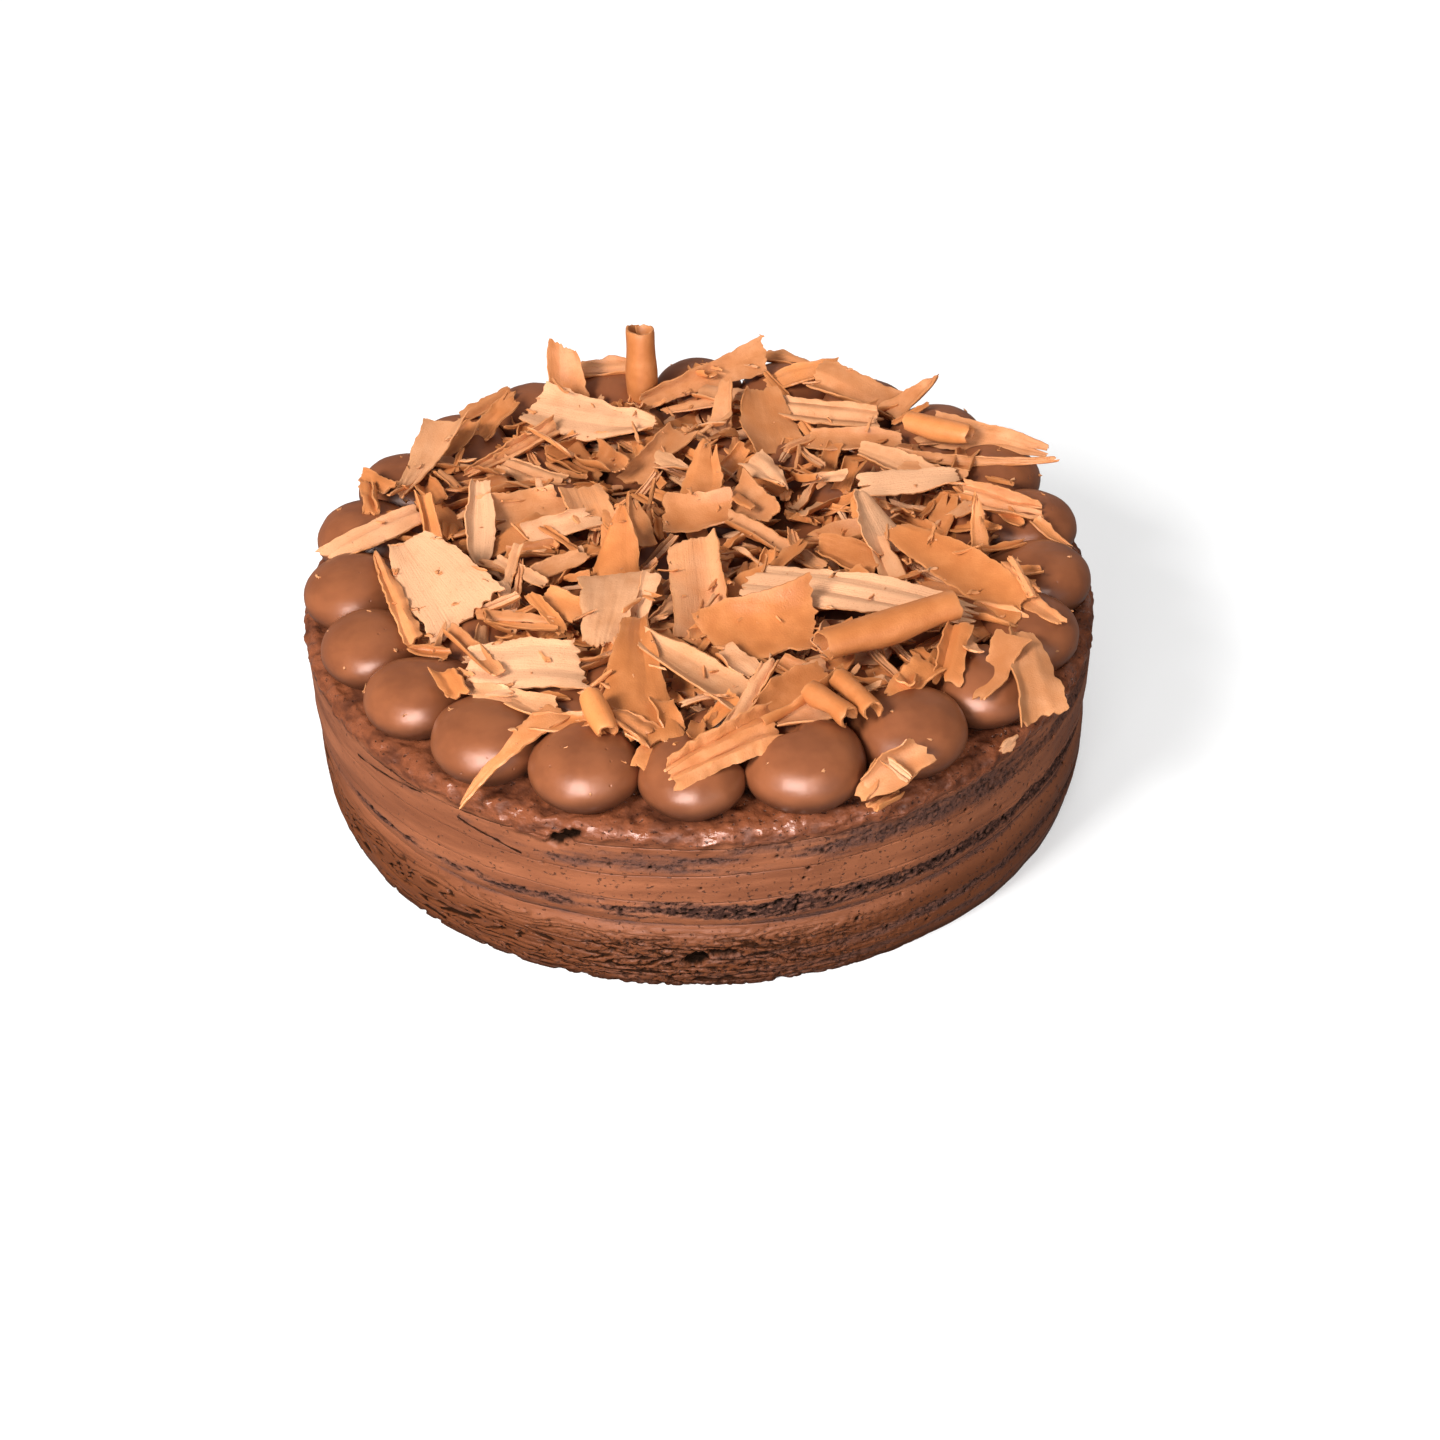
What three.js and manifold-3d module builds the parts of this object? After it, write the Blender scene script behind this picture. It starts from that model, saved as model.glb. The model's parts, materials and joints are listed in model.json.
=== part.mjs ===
// A round chocolate layer cake: three sponges, two fillings, an iced top,
// a ring of piped ganache dollops and a heap of milk chocolate shavings.
// Millimetres, +Z up, origin at the middle of the base, the shown front towards -Y.

import * as THREE from "three";
import { mergeVertices } from "three/addons/utils/BufferGeometryUtils.js";
import Module from "manifold-3d";

const wasm = await Module();
wasm.setup();

// Driving dimensions of the layers, from the base up
const CAKE_RADIUS = 104.5;
const BASE_TUCK = 1.2;
const BASE_TUCK_HEIGHT = 7;
const WAIST = 1.3;
const WAIST_HALF_HEIGHT = 2.5;
const LAYER_GAP = 0.3;
const LAYER_TOPS = {
  sponge_lower: 10,
  filling_lower: 20,
  sponge_middle: 29,
  filling_upper: 37,
  sponge_upper: 45,
  icing_top: 50,
};
const JOINT_WAVE = 0.8;
const JOINT_WAVES = [{ share: 0.6, count: 3, climb: 0.1 }, { share: 0.4, count: 7, climb: 1 }];
const CRAG_WAVES = [
  { share: 0.5, count: 5, climb: 0.31 },
  { share: 0.3, count: 11, climb: -0.8 },
  { share: 0.2, count: 19, climb: 1.7 },
];
const ROUND_STEPS = 48;
const SIDE_STEPS = 2;
const FLAT_MARGIN = 8;
const CRAGS = { sponge: 0.55, filling: 0.25, icing: 0.5 };
const ICING_RIM_ROUND = 3.6;

// The ring of dollops: relative widths run counterclockwise from the front one
const DOLLOP_RING_RADIUS = 90;
const FIRST_DOLLOP_ANGLE = 268.4;
const DOLLOP_WIDTHS = [
  0.95, 1.1, 1.06, 0.98, 1.0, 0.98, 0.97, 1.0, 1.02, 0.99, 1.01,
  1.0, 0.98, 1.02, 1.0, 0.99, 1.03, 1.02, 0.97, 0.96, 1.03, 1.01,
];
const DOLLOP_HEIGHT = 13;
const DOLLOP_TAIL = 7;
const DOLLOP_TAIL_NARROWING = 0.4;
const DOLLOP_TAIL_DROP = 0.3;
const DOLLOP_OUTLINE = [[0, 0], [0.78, 0], [0.96, 0.16], [1, 0.38], [0.9, 0.66], [0.6, 0.9], [0, 1]];
const DOLLOP_STEPS = 12;
const DOLLOP_GAP = 0.5;

// The heap of shavings inside the ring
const HEAP_RADIUS = 70;
const HEAP_HEIGHT = 13;
const HEAP_RINGS = [1, 0.93, 0.75, 0.5, 0.25, 0];
const HEAP_CROWN = 0.12;
const HEAP_EDGE_DROP = 0.33;
const HEAP_EDGE_POWER = 12;
const HEAP_BUMPS = 0.6;
const HEAP_BUMP_LENGTH = 7;
const HEAP_STEPS = 30;
const SHAVING_THICKNESS = 1.2;
const SHAVING_TEAR = 1.1;
const CURL_STEP = 50;
const SHAVING_CLEARANCE = 0.35;
const FLAT_CELLS = 2;
const BOWED_CELLS = 3;
const WELD = 1e-4;
const SEED = 20;

// Ranges that the small filler shavings are drawn from
const FILLER = {
  count: 12,
  reach: 0.92,
  over: [0.5, 2.5],
  rise: [-25, 30],
  lean: [-30, 30],
  length: [14, 26],
  width: [5, 11],
  end: [0.3, 1],
  curl: [20, 120],
};

const TOP = LAYER_TOPS.icing_top;
const HEAP_BASE = TOP + LAYER_GAP;

// The shavings that stand out, chosen by eye, one a line, in millimetres and degrees:
// middle (x, y and height over the cake's top), turn (heading about Z, rise of the far
// end, lean about its own length), size (length, width), the widths of its two ends as
// shares of the middle's, and its bends (curl across, bow along).
const SHAVINGS = [
  [[-15, 85, 18], [90, 84, 0], [25, 24], [0.95, 1], [320, 0]],
  [[-36, 78, 19], [100, 68, -20], [24, 11], [1, 0.25], [60, 30]],
  [[-29, 64, 13], [-30, -5, 25], [37, 25], [0.8, 0.55], [40, 15]],
  [[3, 81, 14], [20, 9, 35], [46, 18], [0.35, 0.95], [30, 10]],
  [[-7, 71, 13], [95, 12, 5], [30, 12], [0.8, 0.6], [40, -10]],
  [[44, 65, 14], [-60, -18, 40], [27, 20], [0.5, 0.8], [90, -40]],
  [[60, 67, 14], [50, 22, 20], [26, 8], [0.7, 0.12], [50, 20]],
  [[71, 46, 12], [-5, 5, 0], [27, 26], [0.9, 0.9], [300, 0]],
  [[82, 47, 14], [-25, 0, 15], [36, 14], [0.5, 0.2], [50, -20]],
  [[77, 31, 14], [-3, 4, 10], [42, 9], [0.4, 0.15], [60, 15]],
  [[56, 32, 13], [-38, 0, 20], [26, 11], [0.5, 0.4], [20, 10]],
  [[57, 20, 13], [10, 0, 20], [27, 15], [0.6, 0.7], [15, -10]],
  [[76, 13, 12], [-42, 4, 25], [30, 14], [0.8, 0.2], [100, 40]],
  [[68, -8, 17], [85, 45, 0], [30, 7], [0.7, 0.2], [40, 10]],
  [[66, -20, 14], [-47, -5, 30], [39, 20], [0.7, 0.75], [45, 20]],
  [[82, -54, 15], [-98, -14, -10], [43, 14], [0.6, 1], [30, -55]],
  [[72, -60, 15], [-130, -8, 10], [26, 8], [0.9, 0.4], [30, 10]],
  [[46, -51, 12.5], [17, 4, 0], [36, 27], [0.95, 0.9], [320, 0]],
  [[38, -34, 13], [-14, 0, 18], [52, 19], [0.7, 0.35], [15, -8]],
  [[15, -47, 13], [10, 5, 40], [27, 22], [0.8, 0.9], [80, 30]],
  [[1, -25, 13], [95, 18, 10], [32, 20], [0.9, 0.5], [120, 0]],
  [[-18, -23, 15], [75, 34, -10], [34, 17], [0.9, 0.1], [50, 20]],
  [[-21, -36, 13], [80, 4, 0], [24, 19], [0.8, 0.9], [20, -15]],
  [[-16, -60, 11.5], [85, 20, 0], [41, 19], [0.9, 0.55], [70, -10]],
  [[-2, -60, 11.5], [-42, -6, 0], [30, 12], [0.3, 0.8], [120, 0]],
  [[7, -84, 15], [35, 6, 20], [28, 13], [0.8, 0.5], [40, -20]],
  [[17, -71, 15], [75, 14, 0], [30, 6], [0.8, 0.5], [60, 10]],
  [[-39, -78, 12], [-120, 0, 10], [42, 9], [0.7, 0.1], [50, -60]],
  [[-66, -25, 13.5], [-58, -12, -15], [40, 28], [0.6, 1], [70, -15]],
  [[-46, -54, 13], [-10, -5, 15], [32, 18], [0.6, 0.9], [20, -15]],
  [[29, -72, 13.5], [-60, -12, 0], [15, 13], [0.9, 0.8], [280, 0]],
  [[34, -71, 13.5], [-70, -12, 0], [15, 12], [0.9, 0.8], [280, 0]],
  [[22, -70, 14], [30, 10, 0], [24, 11], [0.9, 0.7], [90, -50]],
  [[-73, 38, 16], [68, 22, 10], [36, 14], [0.6, 0.5], [40, 0]],
  [[-80, 7, 12.5], [200, 8, 10], [33, 16], [0.5, 0.95], [30, -20]],
  [[-59, 6, 15], [92, 27, 0], [34, 9], [0.25, 0.5], [60, 0]],
  [[-45, 12, 13], [20, 0, 25], [21, 18], [0.8, 0.7], [30, 20]],
  [[-30, 16, 15], [100, 27, 0], [32, 19], [0.95, 0.6], [40, 0]],
  [[-25, 36, 12], [-10, 0, 0], [18, 22], [0.9, 0.9], [260, 0]],
  [[-11, 36, 13], [70, 28, 0], [22, 18], [0.7, 0.9], [200, 0]],
  [[-36, 2, 12], [20, 5, 30], [19, 13], [0.8, 0.7], [150, 0]],
  [[0, 10, 13], [10, 0, 25], [18, 15], [0.8, 0.7], [30, 20]],
  [[2, 22, 16], [80, 28, 0], [24, 14], [0.9, 0.3], [50, 15]],
  [[8, 58, 15], [80, 40, 0], [22, 8], [0.8, 0.5], [60, 0]],
  [[21, 56, 14], [100, 18, 10], [24, 19], [0.9, 0.6], [50, 10]],
  [[34, 61, 13], [-18, 0, 20], [38, 14], [0.4, 0.6], [15, 8]],
  [[45, 47, 12], [-10, 0, 15], [26, 11], [0.8, 0.7], [40, 0]],
  [[40, 8, 14], [80, 22, 0], [22, 16], [0.9, 0.7], [60, 0]],
  [[40, -10, 13], [-35, 0, 20], [18, 14], [0.6, 0.9], [40, 10]],
  [[20, -4, 12], [-40, -5, 0], [31, 9], [0.8, 0.5], [110, 0]],
  [[-50, 47, 12.5], [45, 4, 10], [26, 12], [0.5, 0.8], [60, 0]],
  [[-54, 58, 16], [70, 40, 0], [24, 10], [0.9, 0.4], [60, 0]],
  [[-46, 35, 12], [-35, 0, 20], [22, 10], [0.5, 0.6], [20, 10]],
  [[-60, 27, 9.5], [20, 5, 0], [20, 15], [0.8, 0.7], [150, 0]],
  [[-78, 30, 13.5], [165, 5, 10], [30, 10], [0.9, 0.5], [40, -15]],
].map(([middle, turn, size, ends, bends]) => ({ middle, turn, size, ends, bends }));

// One shaving lies apart, against the outer side of the third dollop
const STRAY_DOLLOP = 2;
const STRAY_SHAVING = {
  middle: [46.6, -89.4, 8],
  turn: [30, 22, 50],
  size: [21, 11],
  ends: [0.6, 0.9],
  bends: [40, 0],
};

const PAINT = {
  sponge: { color: 0x3c2822, roughness: 0.95, metalness: 0 },
  filling: { color: 0x7a4a36, roughness: 0.6, metalness: 0 },
  icing: { color: 0x6e3f2c, roughness: 0.5, metalness: 0 },
  ganache: { color: 0x7d5037, roughness: 0.3, metalness: 0 },
  shavings: { color: 0xd59a68, roughness: 0.6, metalness: 0 },
};

const radians = THREE.MathUtils.degToRad;
const mix = THREE.MathUtils.lerp;

// A small linear congruential generator, so that every run draws the same heap
function seededDraws(seed) {
  let state = seed;
  return (low, high) => {
    state = (Math.imul(state, 1664525) + 1013904223) >>> 0;
    return mix(low, high, state / 4294967296);
  };
}

function solidFrom(geometry) {
  const bare = geometry.clone();
  bare.deleteAttribute("normal");
  bare.deleteAttribute("uv");
  const welded = mergeVertices(bare, WELD);
  return new wasm.Manifold(new wasm.Mesh({
    numProp: 3,
    vertProperties: new Float32Array(welded.attributes.position.array),
    triVerts: new Uint32Array(welded.index.array),
  }));
}

function geometryFrom(solid) {
  const mesh = solid.getMesh();
  const geometry = new THREE.BufferGeometry();
  geometry.setAttribute("position", new THREE.BufferAttribute(new Float32Array(mesh.vertProperties), 3));
  geometry.setIndex(new THREE.BufferAttribute(new Uint32Array(mesh.triVerts), 1));
  geometry.computeVertexNormals();
  return geometry;
}

function namedMesh(name, geometry, paint) {
  const mesh = new THREE.Mesh(geometry, new THREE.MeshStandardMaterial(PAINT[paint]));
  mesh.name = name;
  return mesh;
}

// Moves every vertex of a geometry by a function of its place
function reshape(geometry, change) {
  const position = geometry.attributes.position;
  const point = new THREE.Vector3();
  for (let i = 0; i < position.count; i += 1) {
    point.fromBufferAttribute(position, i);
    change(point);
    position.setXYZ(i, point.x, point.y, point.z);
  }
  geometry.computeVertexNormals();
  return geometry;
}

// A body turned about Z, from [radius, height] pairs that start and end on the axis
function turned(profile, steps) {
  const points = profile.map(([radius, height]) => new THREE.Vector2(radius, height));
  const lathe = new THREE.LatheGeometry(points, steps);
  lathe.rotateX(Math.PI / 2);
  return lathe;
}

// Waves that run round the cake and climb it, each with its own count of crests
function waves(list, angle, height) {
  const crest = ({ share, count, climb }) => share * Math.sin(count * angle + climb * height);
  return list.reduce((sum, wave) => sum + crest(wave), 0);
}

// The joints between layers wave a little, fading out at the flat base and top
function jointWave(angle, height) {
  const offBase = THREE.MathUtils.smoothstep(height, 0, LAYER_TOPS.sponge_lower);
  const offTop = THREE.MathUtils.smoothstep(TOP - height, 0, ICING_RIM_ROUND);
  return JOINT_WAVE * offBase * offTop * waves(JOINT_WAVES, angle, height);
}

// The wall's radius at a height: tucked in at the base, with a waist where two layers meet
function wallRadius(height) {
  const tuck = BASE_TUCK * (1 - THREE.MathUtils.smoothstep(height, 0, BASE_TUCK_HEIGHT));
  const offWaist = (height - LAYER_TOPS.filling_lower) / WAIST_HALF_HEIGHT;
  return CAKE_RADIUS - tuck - WAIST * Math.exp(-offWaist * offWaist);
}

function layer(name, bottom, side, crags, paint) {
  const top = LAYER_TOPS[name];
  const profile = [[0, bottom], ...side, [0, top]];
  const geometry = reshape(turned(profile, ROUND_STEPS), (point) => {
    const angle = Math.atan2(point.y, point.x);
    const atEdge = THREE.MathUtils.smoothstep(Math.hypot(point.x, point.y), 0, CAKE_RADIUS - FLAT_MARGIN);
    const grow = 1 + (atEdge * crags * waves(CRAG_WAVES, angle, point.z)) / CAKE_RADIUS;
    const nearTop = point.z > (bottom + top) / 2;
    point.x *= grow;
    point.y *= grow;
    point.z += jointWave(angle, nearTop ? top : bottom - LAYER_GAP) * atEdge;
  });
  return namedMesh(name, geometry, paint);
}

function plainSide(bottom, top) {
  const side = [];
  for (let step = 0; step <= SIDE_STEPS; step += 1) {
    const height = mix(bottom, top, step / SIDE_STEPS);
    side.push([wallRadius(height), height]);
  }
  return side;
}

function icingSide(bottom) {
  const side = [[wallRadius(bottom), bottom]];
  for (let step = 0; step <= SIDE_STEPS; step += 1) {
    const turn = (step / SIDE_STEPS) * (Math.PI / 2);
    const drop = ICING_RIM_ROUND * (1 - Math.sin(turn));
    side.push([CAKE_RADIUS - ICING_RIM_ROUND * (1 - Math.cos(turn)), TOP - drop]);
  }
  return side;
}

function cakeLayers() {
  const layers = [];
  let bottom = 0;
  Object.entries(LAYER_TOPS).forEach(([name, top]) => {
    const kind = name.split("_")[0];
    const side = kind === "icing" ? icingSide(bottom) : plainSide(bottom, top);
    layers.push(layer(name, bottom, side, CRAGS[kind], kind));
    bottom = top + LAYER_GAP;
  });
  return layers;
}

// One piped dollop: a round head, its tail drawn towards the middle of the cake
function dollopGeometry(radius, height, grow) {
  const profile = DOLLOP_OUTLINE.map(([out, up]) => [
    out * radius + (out > 0 ? grow : 0),
    up * (height + 2 * grow) - grow,
  ]);
  return reshape(turned(profile, DOLLOP_STEPS), (point) => {
    const inward = THREE.MathUtils.clamp(-point.x / radius, 0, 1);
    const pull = inward * inward;
    point.x -= DOLLOP_TAIL * pull;
    point.y *= 1 - DOLLOP_TAIL_NARROWING * pull;
    point.z *= 1 - DOLLOP_TAIL_DROP * pull;
  });
}

function dollopRing(draw) {
  const widthSum = DOLLOP_WIDTHS.reduce((sum, width) => sum + width, 0);
  const dollops = [];
  let angle = radians(FIRST_DOLLOP_ANGLE);
  DOLLOP_WIDTHS.forEach((width, index) => {
    const radius = DOLLOP_RING_RADIUS * Math.sin((Math.PI * width) / widthSum) - DOLLOP_GAP / 2;
    const place = new THREE.Matrix4().makeRotationZ(angle).setPosition(
      DOLLOP_RING_RADIUS * Math.cos(angle),
      DOLLOP_RING_RADIUS * Math.sin(angle),
      TOP + LAYER_GAP,
    );
    const bodyGrown = (grow) => dollopGeometry(radius, DOLLOP_HEIGHT * width, grow).applyMatrix4(place);
    let geometry = bodyGrown(0);
    if (index === STRAY_DOLLOP) {
      geometry = geometryFrom(solidFrom(geometry).add(solidFrom(shavingGeometry(STRAY_SHAVING, draw))));
    }
    const name = `dollop_${String(index + 1).padStart(2, "0")}`;
    dollops.push({
      mesh: namedMesh(name, geometry, "ganache"),
      clearance: solidFrom(bodyGrown(SHAVING_CLEARANCE)),
    });
    const next = DOLLOP_WIDTHS[(index + 1) % DOLLOP_WIDTHS.length];
    angle += (Math.PI * (width + next)) / widthSum;
  });
  return dollops;
}

// A point of a shaving's middle surface; along and across run from -1/2 to 1/2
function shavingPoint(shaving, along, across) {
  const [length, width] = shaving.size;
  const s = along + 0.5;
  const ends = mix(...shaving.ends, s);
  const breadth = ends + (1 - ends) * 4 * s * (1 - s);
  const [curl, bow] = shaving.bends.map(radians);
  const point = new THREE.Vector3(along * length, across * breadth * width, 0);
  if (curl !== 0) {
    const radius = width / curl;
    point.z = radius * (1 - Math.cos(point.y / radius));
    point.y = radius * Math.sin(point.y / radius);
  }
  if (bow !== 0) {
    const radius = length / bow;
    const reach = radius - point.z;
    point.z = radius - reach * Math.cos(point.x / radius);
    point.x = reach * Math.sin(point.x / radius);
  }
  return point;
}

// A thin shaving with torn ends: both faces have the same triangles
function shavingGeometry(shaving, draw) {
  const [curl, bow] = shaving.bends;
  const lengthCells = bow === 0 ? FLAT_CELLS : BOWED_CELLS;
  const widthCells = Math.max(FLAT_CELLS, Math.ceil(Math.abs(curl) / CURL_STEP));
  const nudge = 1e-3;
  const upper = [];
  const lower = [];
  for (let i = 0; i <= lengthCells; i += 1) {
    for (let j = 0; j <= widthCells; j += 1) {
      const atEnd = i === 0 || i === lengthCells;
      const tear = atEnd ? draw(-SHAVING_TEAR, SHAVING_TEAR) / shaving.size[0] : 0;
      const along = i / lengthCells - 0.5 + tear;
      const across = j / widthCells - 0.5;
      const middle = shavingPoint(shaving, along, across);
      const forward = shavingPoint(shaving, along + nudge, across).sub(middle);
      const sideways = shavingPoint(shaving, along, across + nudge).sub(middle);
      const lift = forward.cross(sideways).setLength(SHAVING_THICKNESS / 2);
      upper.push(middle.clone().add(lift));
      lower.push(middle.clone().sub(lift));
    }
  }
  const row = widthCells + 1;
  const count = upper.length;
  const triangles = [];
  const quad = (a, b, c, d) => triangles.push(a, b, c, a, c, d);
  for (let i = 0; i < lengthCells; i += 1) {
    for (let j = 0; j < widthCells; j += 1) {
      const a = i * row + j;
      const [b, c, d] = [a + row, a + row + 1, a + 1];
      triangles.push(a, b, c, a, c, d);
      triangles.push(a + count, c + count, b + count, a + count, d + count, c + count);
    }
  }
  for (let i = 0; i < lengthCells; i += 1) {
    const left = i * row;
    const right = left + widthCells;
    quad(left, left + count, left + row + count, left + row);
    quad(right, right + row, right + row + count, right + count);
  }
  for (let j = 0; j < widthCells; j += 1) {
    const near = j;
    const far = lengthCells * row + j;
    quad(near, near + 1, near + 1 + count, near + count);
    quad(far, far + count, far + 1 + count, far + 1);
  }
  const geometry = new THREE.BufferGeometry().setFromPoints([...upper, ...lower]);
  geometry.setIndex(triangles);
  const [heading, rise, lean] = shaving.turn.map(radians);
  const [x, y, up] = shaving.middle;
  const turn = new THREE.Matrix4().makeRotationFromEuler(new THREE.Euler(lean, -rise, heading, "ZYX"));
  return geometry.applyMatrix4(turn.setPosition(x, y, TOP + up));
}

// Smaller shavings drawn at random fill the heap between those that stand out
function fillerShavings(draw) {
  const fillers = [];
  for (let i = 0; i < FILLER.count; i += 1) {
    const angle = radians(draw(0, 360));
    const radius = HEAP_RADIUS * FILLER.reach * Math.sqrt(draw(0, 1));
    const up = heapHeight(radius) + draw(...FILLER.over);
    fillers.push({
      middle: [radius * Math.cos(angle), radius * Math.sin(angle), up],
      turn: [draw(0, 360), draw(...FILLER.rise), draw(...FILLER.lean)],
      size: [draw(...FILLER.length), draw(...FILLER.width)],
      ends: [draw(...FILLER.end), draw(...FILLER.end)],
      bends: [draw(...FILLER.curl), 0],
    });
  }
  return fillers;
}

// The core is flat on top, falls off near its edge and has a low wall
function heapHeight(radius) {
  const share = radius / HEAP_RADIUS;
  return HEAP_HEIGHT * (1 - HEAP_CROWN * share ** 2 - HEAP_EDGE_DROP * share ** HEAP_EDGE_POWER);
}

function heapCore() {
  const profile = [[0, 0], [HEAP_RADIUS, 0]];
  HEAP_RINGS.forEach((share) => profile.push([share * HEAP_RADIUS, heapHeight(share * HEAP_RADIUS)]));
  const geometry = reshape(turned(profile, HEAP_STEPS), (point) => {
    const bumps = Math.sin(point.x / HEAP_BUMP_LENGTH + 1) + Math.sin((point.y - point.x) / HEAP_BUMP_LENGTH);
    point.z += point.z > HEAP_BUMPS ? HEAP_BUMPS * bumps : 0;
  });
  geometry.translate(0, 0, HEAP_BASE);
  return solidFrom(geometry);
}

// Fusing can seal a hollow or leave a loose scrap: only the outer body is kept
function largestBody(solid) {
  const bodies = solid.decompose();
  return bodies.reduce((best, body) => (body.volume() > best.volume() ? body : best));
}

function shavingsHeap(dollops, draw) {
  const pieces = [...SHAVINGS, ...fillerShavings(draw)];
  let heap = heapCore();
  pieces.forEach((piece) => {
    heap = heap.add(solidFrom(shavingGeometry(piece, draw)));
  });
  dollops.forEach((dollop) => {
    heap = heap.subtract(dollop.clearance);
  });
  return namedMesh("shavings_heap", geometryFrom(largestBody(heap)), "shavings");
}

const cake = new THREE.Group();
const draw = seededDraws(SEED);
const dollops = dollopRing(draw);
cake.add(...cakeLayers());
cake.add(...dollops.map((dollop) => dollop.mesh));
cake.add(shavingsHeap(dollops, draw));

export default cake;
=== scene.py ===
# %% [markdown]
# # A chocolate cake under a heap of shavings
#
# The real object is a round layer cake, about 209 mm across. Its side is scraped, so that rows of dark
# crumb show through a thin smear of icing. A ring of piped ganache dollops runs round the top, and milk
# chocolate shavings are heaped inside it.
#
# The packed solids give the frame: every piece below is made in metres, in that frame, and stands where
# its solid stands.

# %% Load the frame
import json
import math

import bpy
import numpy as np
from mathutils import Matrix, Vector

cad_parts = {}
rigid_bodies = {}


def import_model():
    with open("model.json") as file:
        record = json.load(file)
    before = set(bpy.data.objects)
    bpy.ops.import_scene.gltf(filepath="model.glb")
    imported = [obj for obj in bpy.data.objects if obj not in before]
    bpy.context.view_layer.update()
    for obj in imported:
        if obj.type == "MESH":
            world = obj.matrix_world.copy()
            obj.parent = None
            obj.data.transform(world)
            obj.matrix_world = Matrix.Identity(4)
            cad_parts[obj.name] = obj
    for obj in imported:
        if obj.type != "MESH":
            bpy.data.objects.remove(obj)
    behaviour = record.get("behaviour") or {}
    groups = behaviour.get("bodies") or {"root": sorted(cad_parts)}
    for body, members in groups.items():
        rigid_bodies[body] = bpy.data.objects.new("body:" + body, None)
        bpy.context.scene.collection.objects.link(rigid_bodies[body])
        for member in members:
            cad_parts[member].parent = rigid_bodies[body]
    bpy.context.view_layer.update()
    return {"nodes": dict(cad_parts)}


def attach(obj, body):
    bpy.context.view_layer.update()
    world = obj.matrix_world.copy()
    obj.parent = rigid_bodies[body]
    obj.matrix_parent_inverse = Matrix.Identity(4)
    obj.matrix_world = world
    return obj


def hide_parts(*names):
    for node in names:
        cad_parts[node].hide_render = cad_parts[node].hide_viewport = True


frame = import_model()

MM = 0.001

# %% [markdown]
# ## The view and the light
#
# The camera was worked out from the round outline at the cake's foot: a 52 mm lens, 38 degrees above the
# table, rolled by a degree and a half.
#
# The light is a soft studio one, made of area lights. The key stands at the front left, two low ones at the
# front light the side, a weak one hangs above and one stands behind for the back. Their mirror images are
# switched off, so that each dollop shows just one highlight: that of the glint, a light that is seen in
# reflections alone. The floor catches the shadow, and the cake takes no light from it. A pale world fills
# the rest.

# %% Camera
LENS = 52.47
SENSOR = 36.0
CAMERA_PLACE = (0.0018, -0.46485, 0.3653)
CAMERA_DIP = math.radians(38.102)
CAMERA_ROLL = math.radians(-1.511)
CAMERA_SHIFT = (0.0076, 0.0006)

camera_data = bpy.data.cameras.new("camera")
camera_data.lens = LENS
camera_data.sensor_width = SENSOR
camera_data.shift_x, camera_data.shift_y = CAMERA_SHIFT
camera = bpy.data.objects.new("camera", camera_data)
camera.location = CAMERA_PLACE
camera_turn = Matrix.Rotation(math.pi / 2 - CAMERA_DIP, 3, "X") @ Matrix.Rotation(CAMERA_ROLL, 3, "Z")
camera.rotation_euler = camera_turn.to_euler()
bpy.context.scene.collection.objects.link(camera)
bpy.context.scene.camera = camera
print("camera at", CAMERA_PLACE)

# %% Softboxes and the world
AIM = Vector((0, 0, 0.04))
WHITE = (1.0, 1.0, 1.0)
SOFTBOXES = {
    "key_front_left": {"place": (-0.8, -0.75, 0.85), "side": 0.42, "watts": 28.0, "mirrored": False},
    "low_front": {"place": (-0.4, -1.2, 0.3), "side": 0.4, "watts": 10.0, "mirrored": False},
    "low_right": {"place": (0.6, -1.0, 0.2), "side": 0.6, "watts": 7.5, "mirrored": False},
    "top": {"place": (0.1, 0.25, 1.3), "side": 1.0, "watts": 3.5, "mirrored": False},
    "back": {"place": (0.35, 1.15, 0.4), "side": 0.6, "watts": 8.0, "mirrored": False},
    "glint": {"place": (-0.14, -0.72, 0.33), "side": 0.5, "watts": 17.0, "diffuse": False,
              "colour": (1.0, 0.95, 0.92)},
}
WORLD_STRENGTH = 0.2


def softbox(name, place, side, watts, mirrored=True, diffuse=True, colour=WHITE):
    """A square area light that faces the cake"""
    light = bpy.data.lights.new(name, "AREA")
    light.color = colour
    light.size = side
    light.energy = watts
    lamp = bpy.data.objects.new(name, light)
    lamp.location = place
    lamp.visible_glossy = mirrored
    lamp.visible_diffuse = diffuse
    lamp.rotation_euler = (AIM - Vector(place)).to_track_quat("-Z", "Y").to_euler()
    bpy.context.scene.collection.objects.link(lamp)


for name, settings in SOFTBOXES.items():
    softbox(name, **settings)
world = bpy.data.worlds.new("pale_room")
world.use_nodes = True
background = world.node_tree.nodes["Background"]
background.inputs["Strength"].default_value = WORLD_STRENGTH
background.inputs["Color"].default_value = (*WHITE, 1)
bpy.context.scene.world = world
bpy.context.scene.view_settings.view_transform = "Standard"
print("watts:", {name: settings["watts"] for name, settings in SOFTBOXES.items()})

# %% The floor
FLOOR_SIDE = 6.0
FLOOR_PAINT = {
    "Base Color": (0.6, 0.6, 0.6, 1),
    "Roughness": 0.7,
    "Emission Color": (*WHITE, 1),
    "Emission Strength": 0.4,
}

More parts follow.
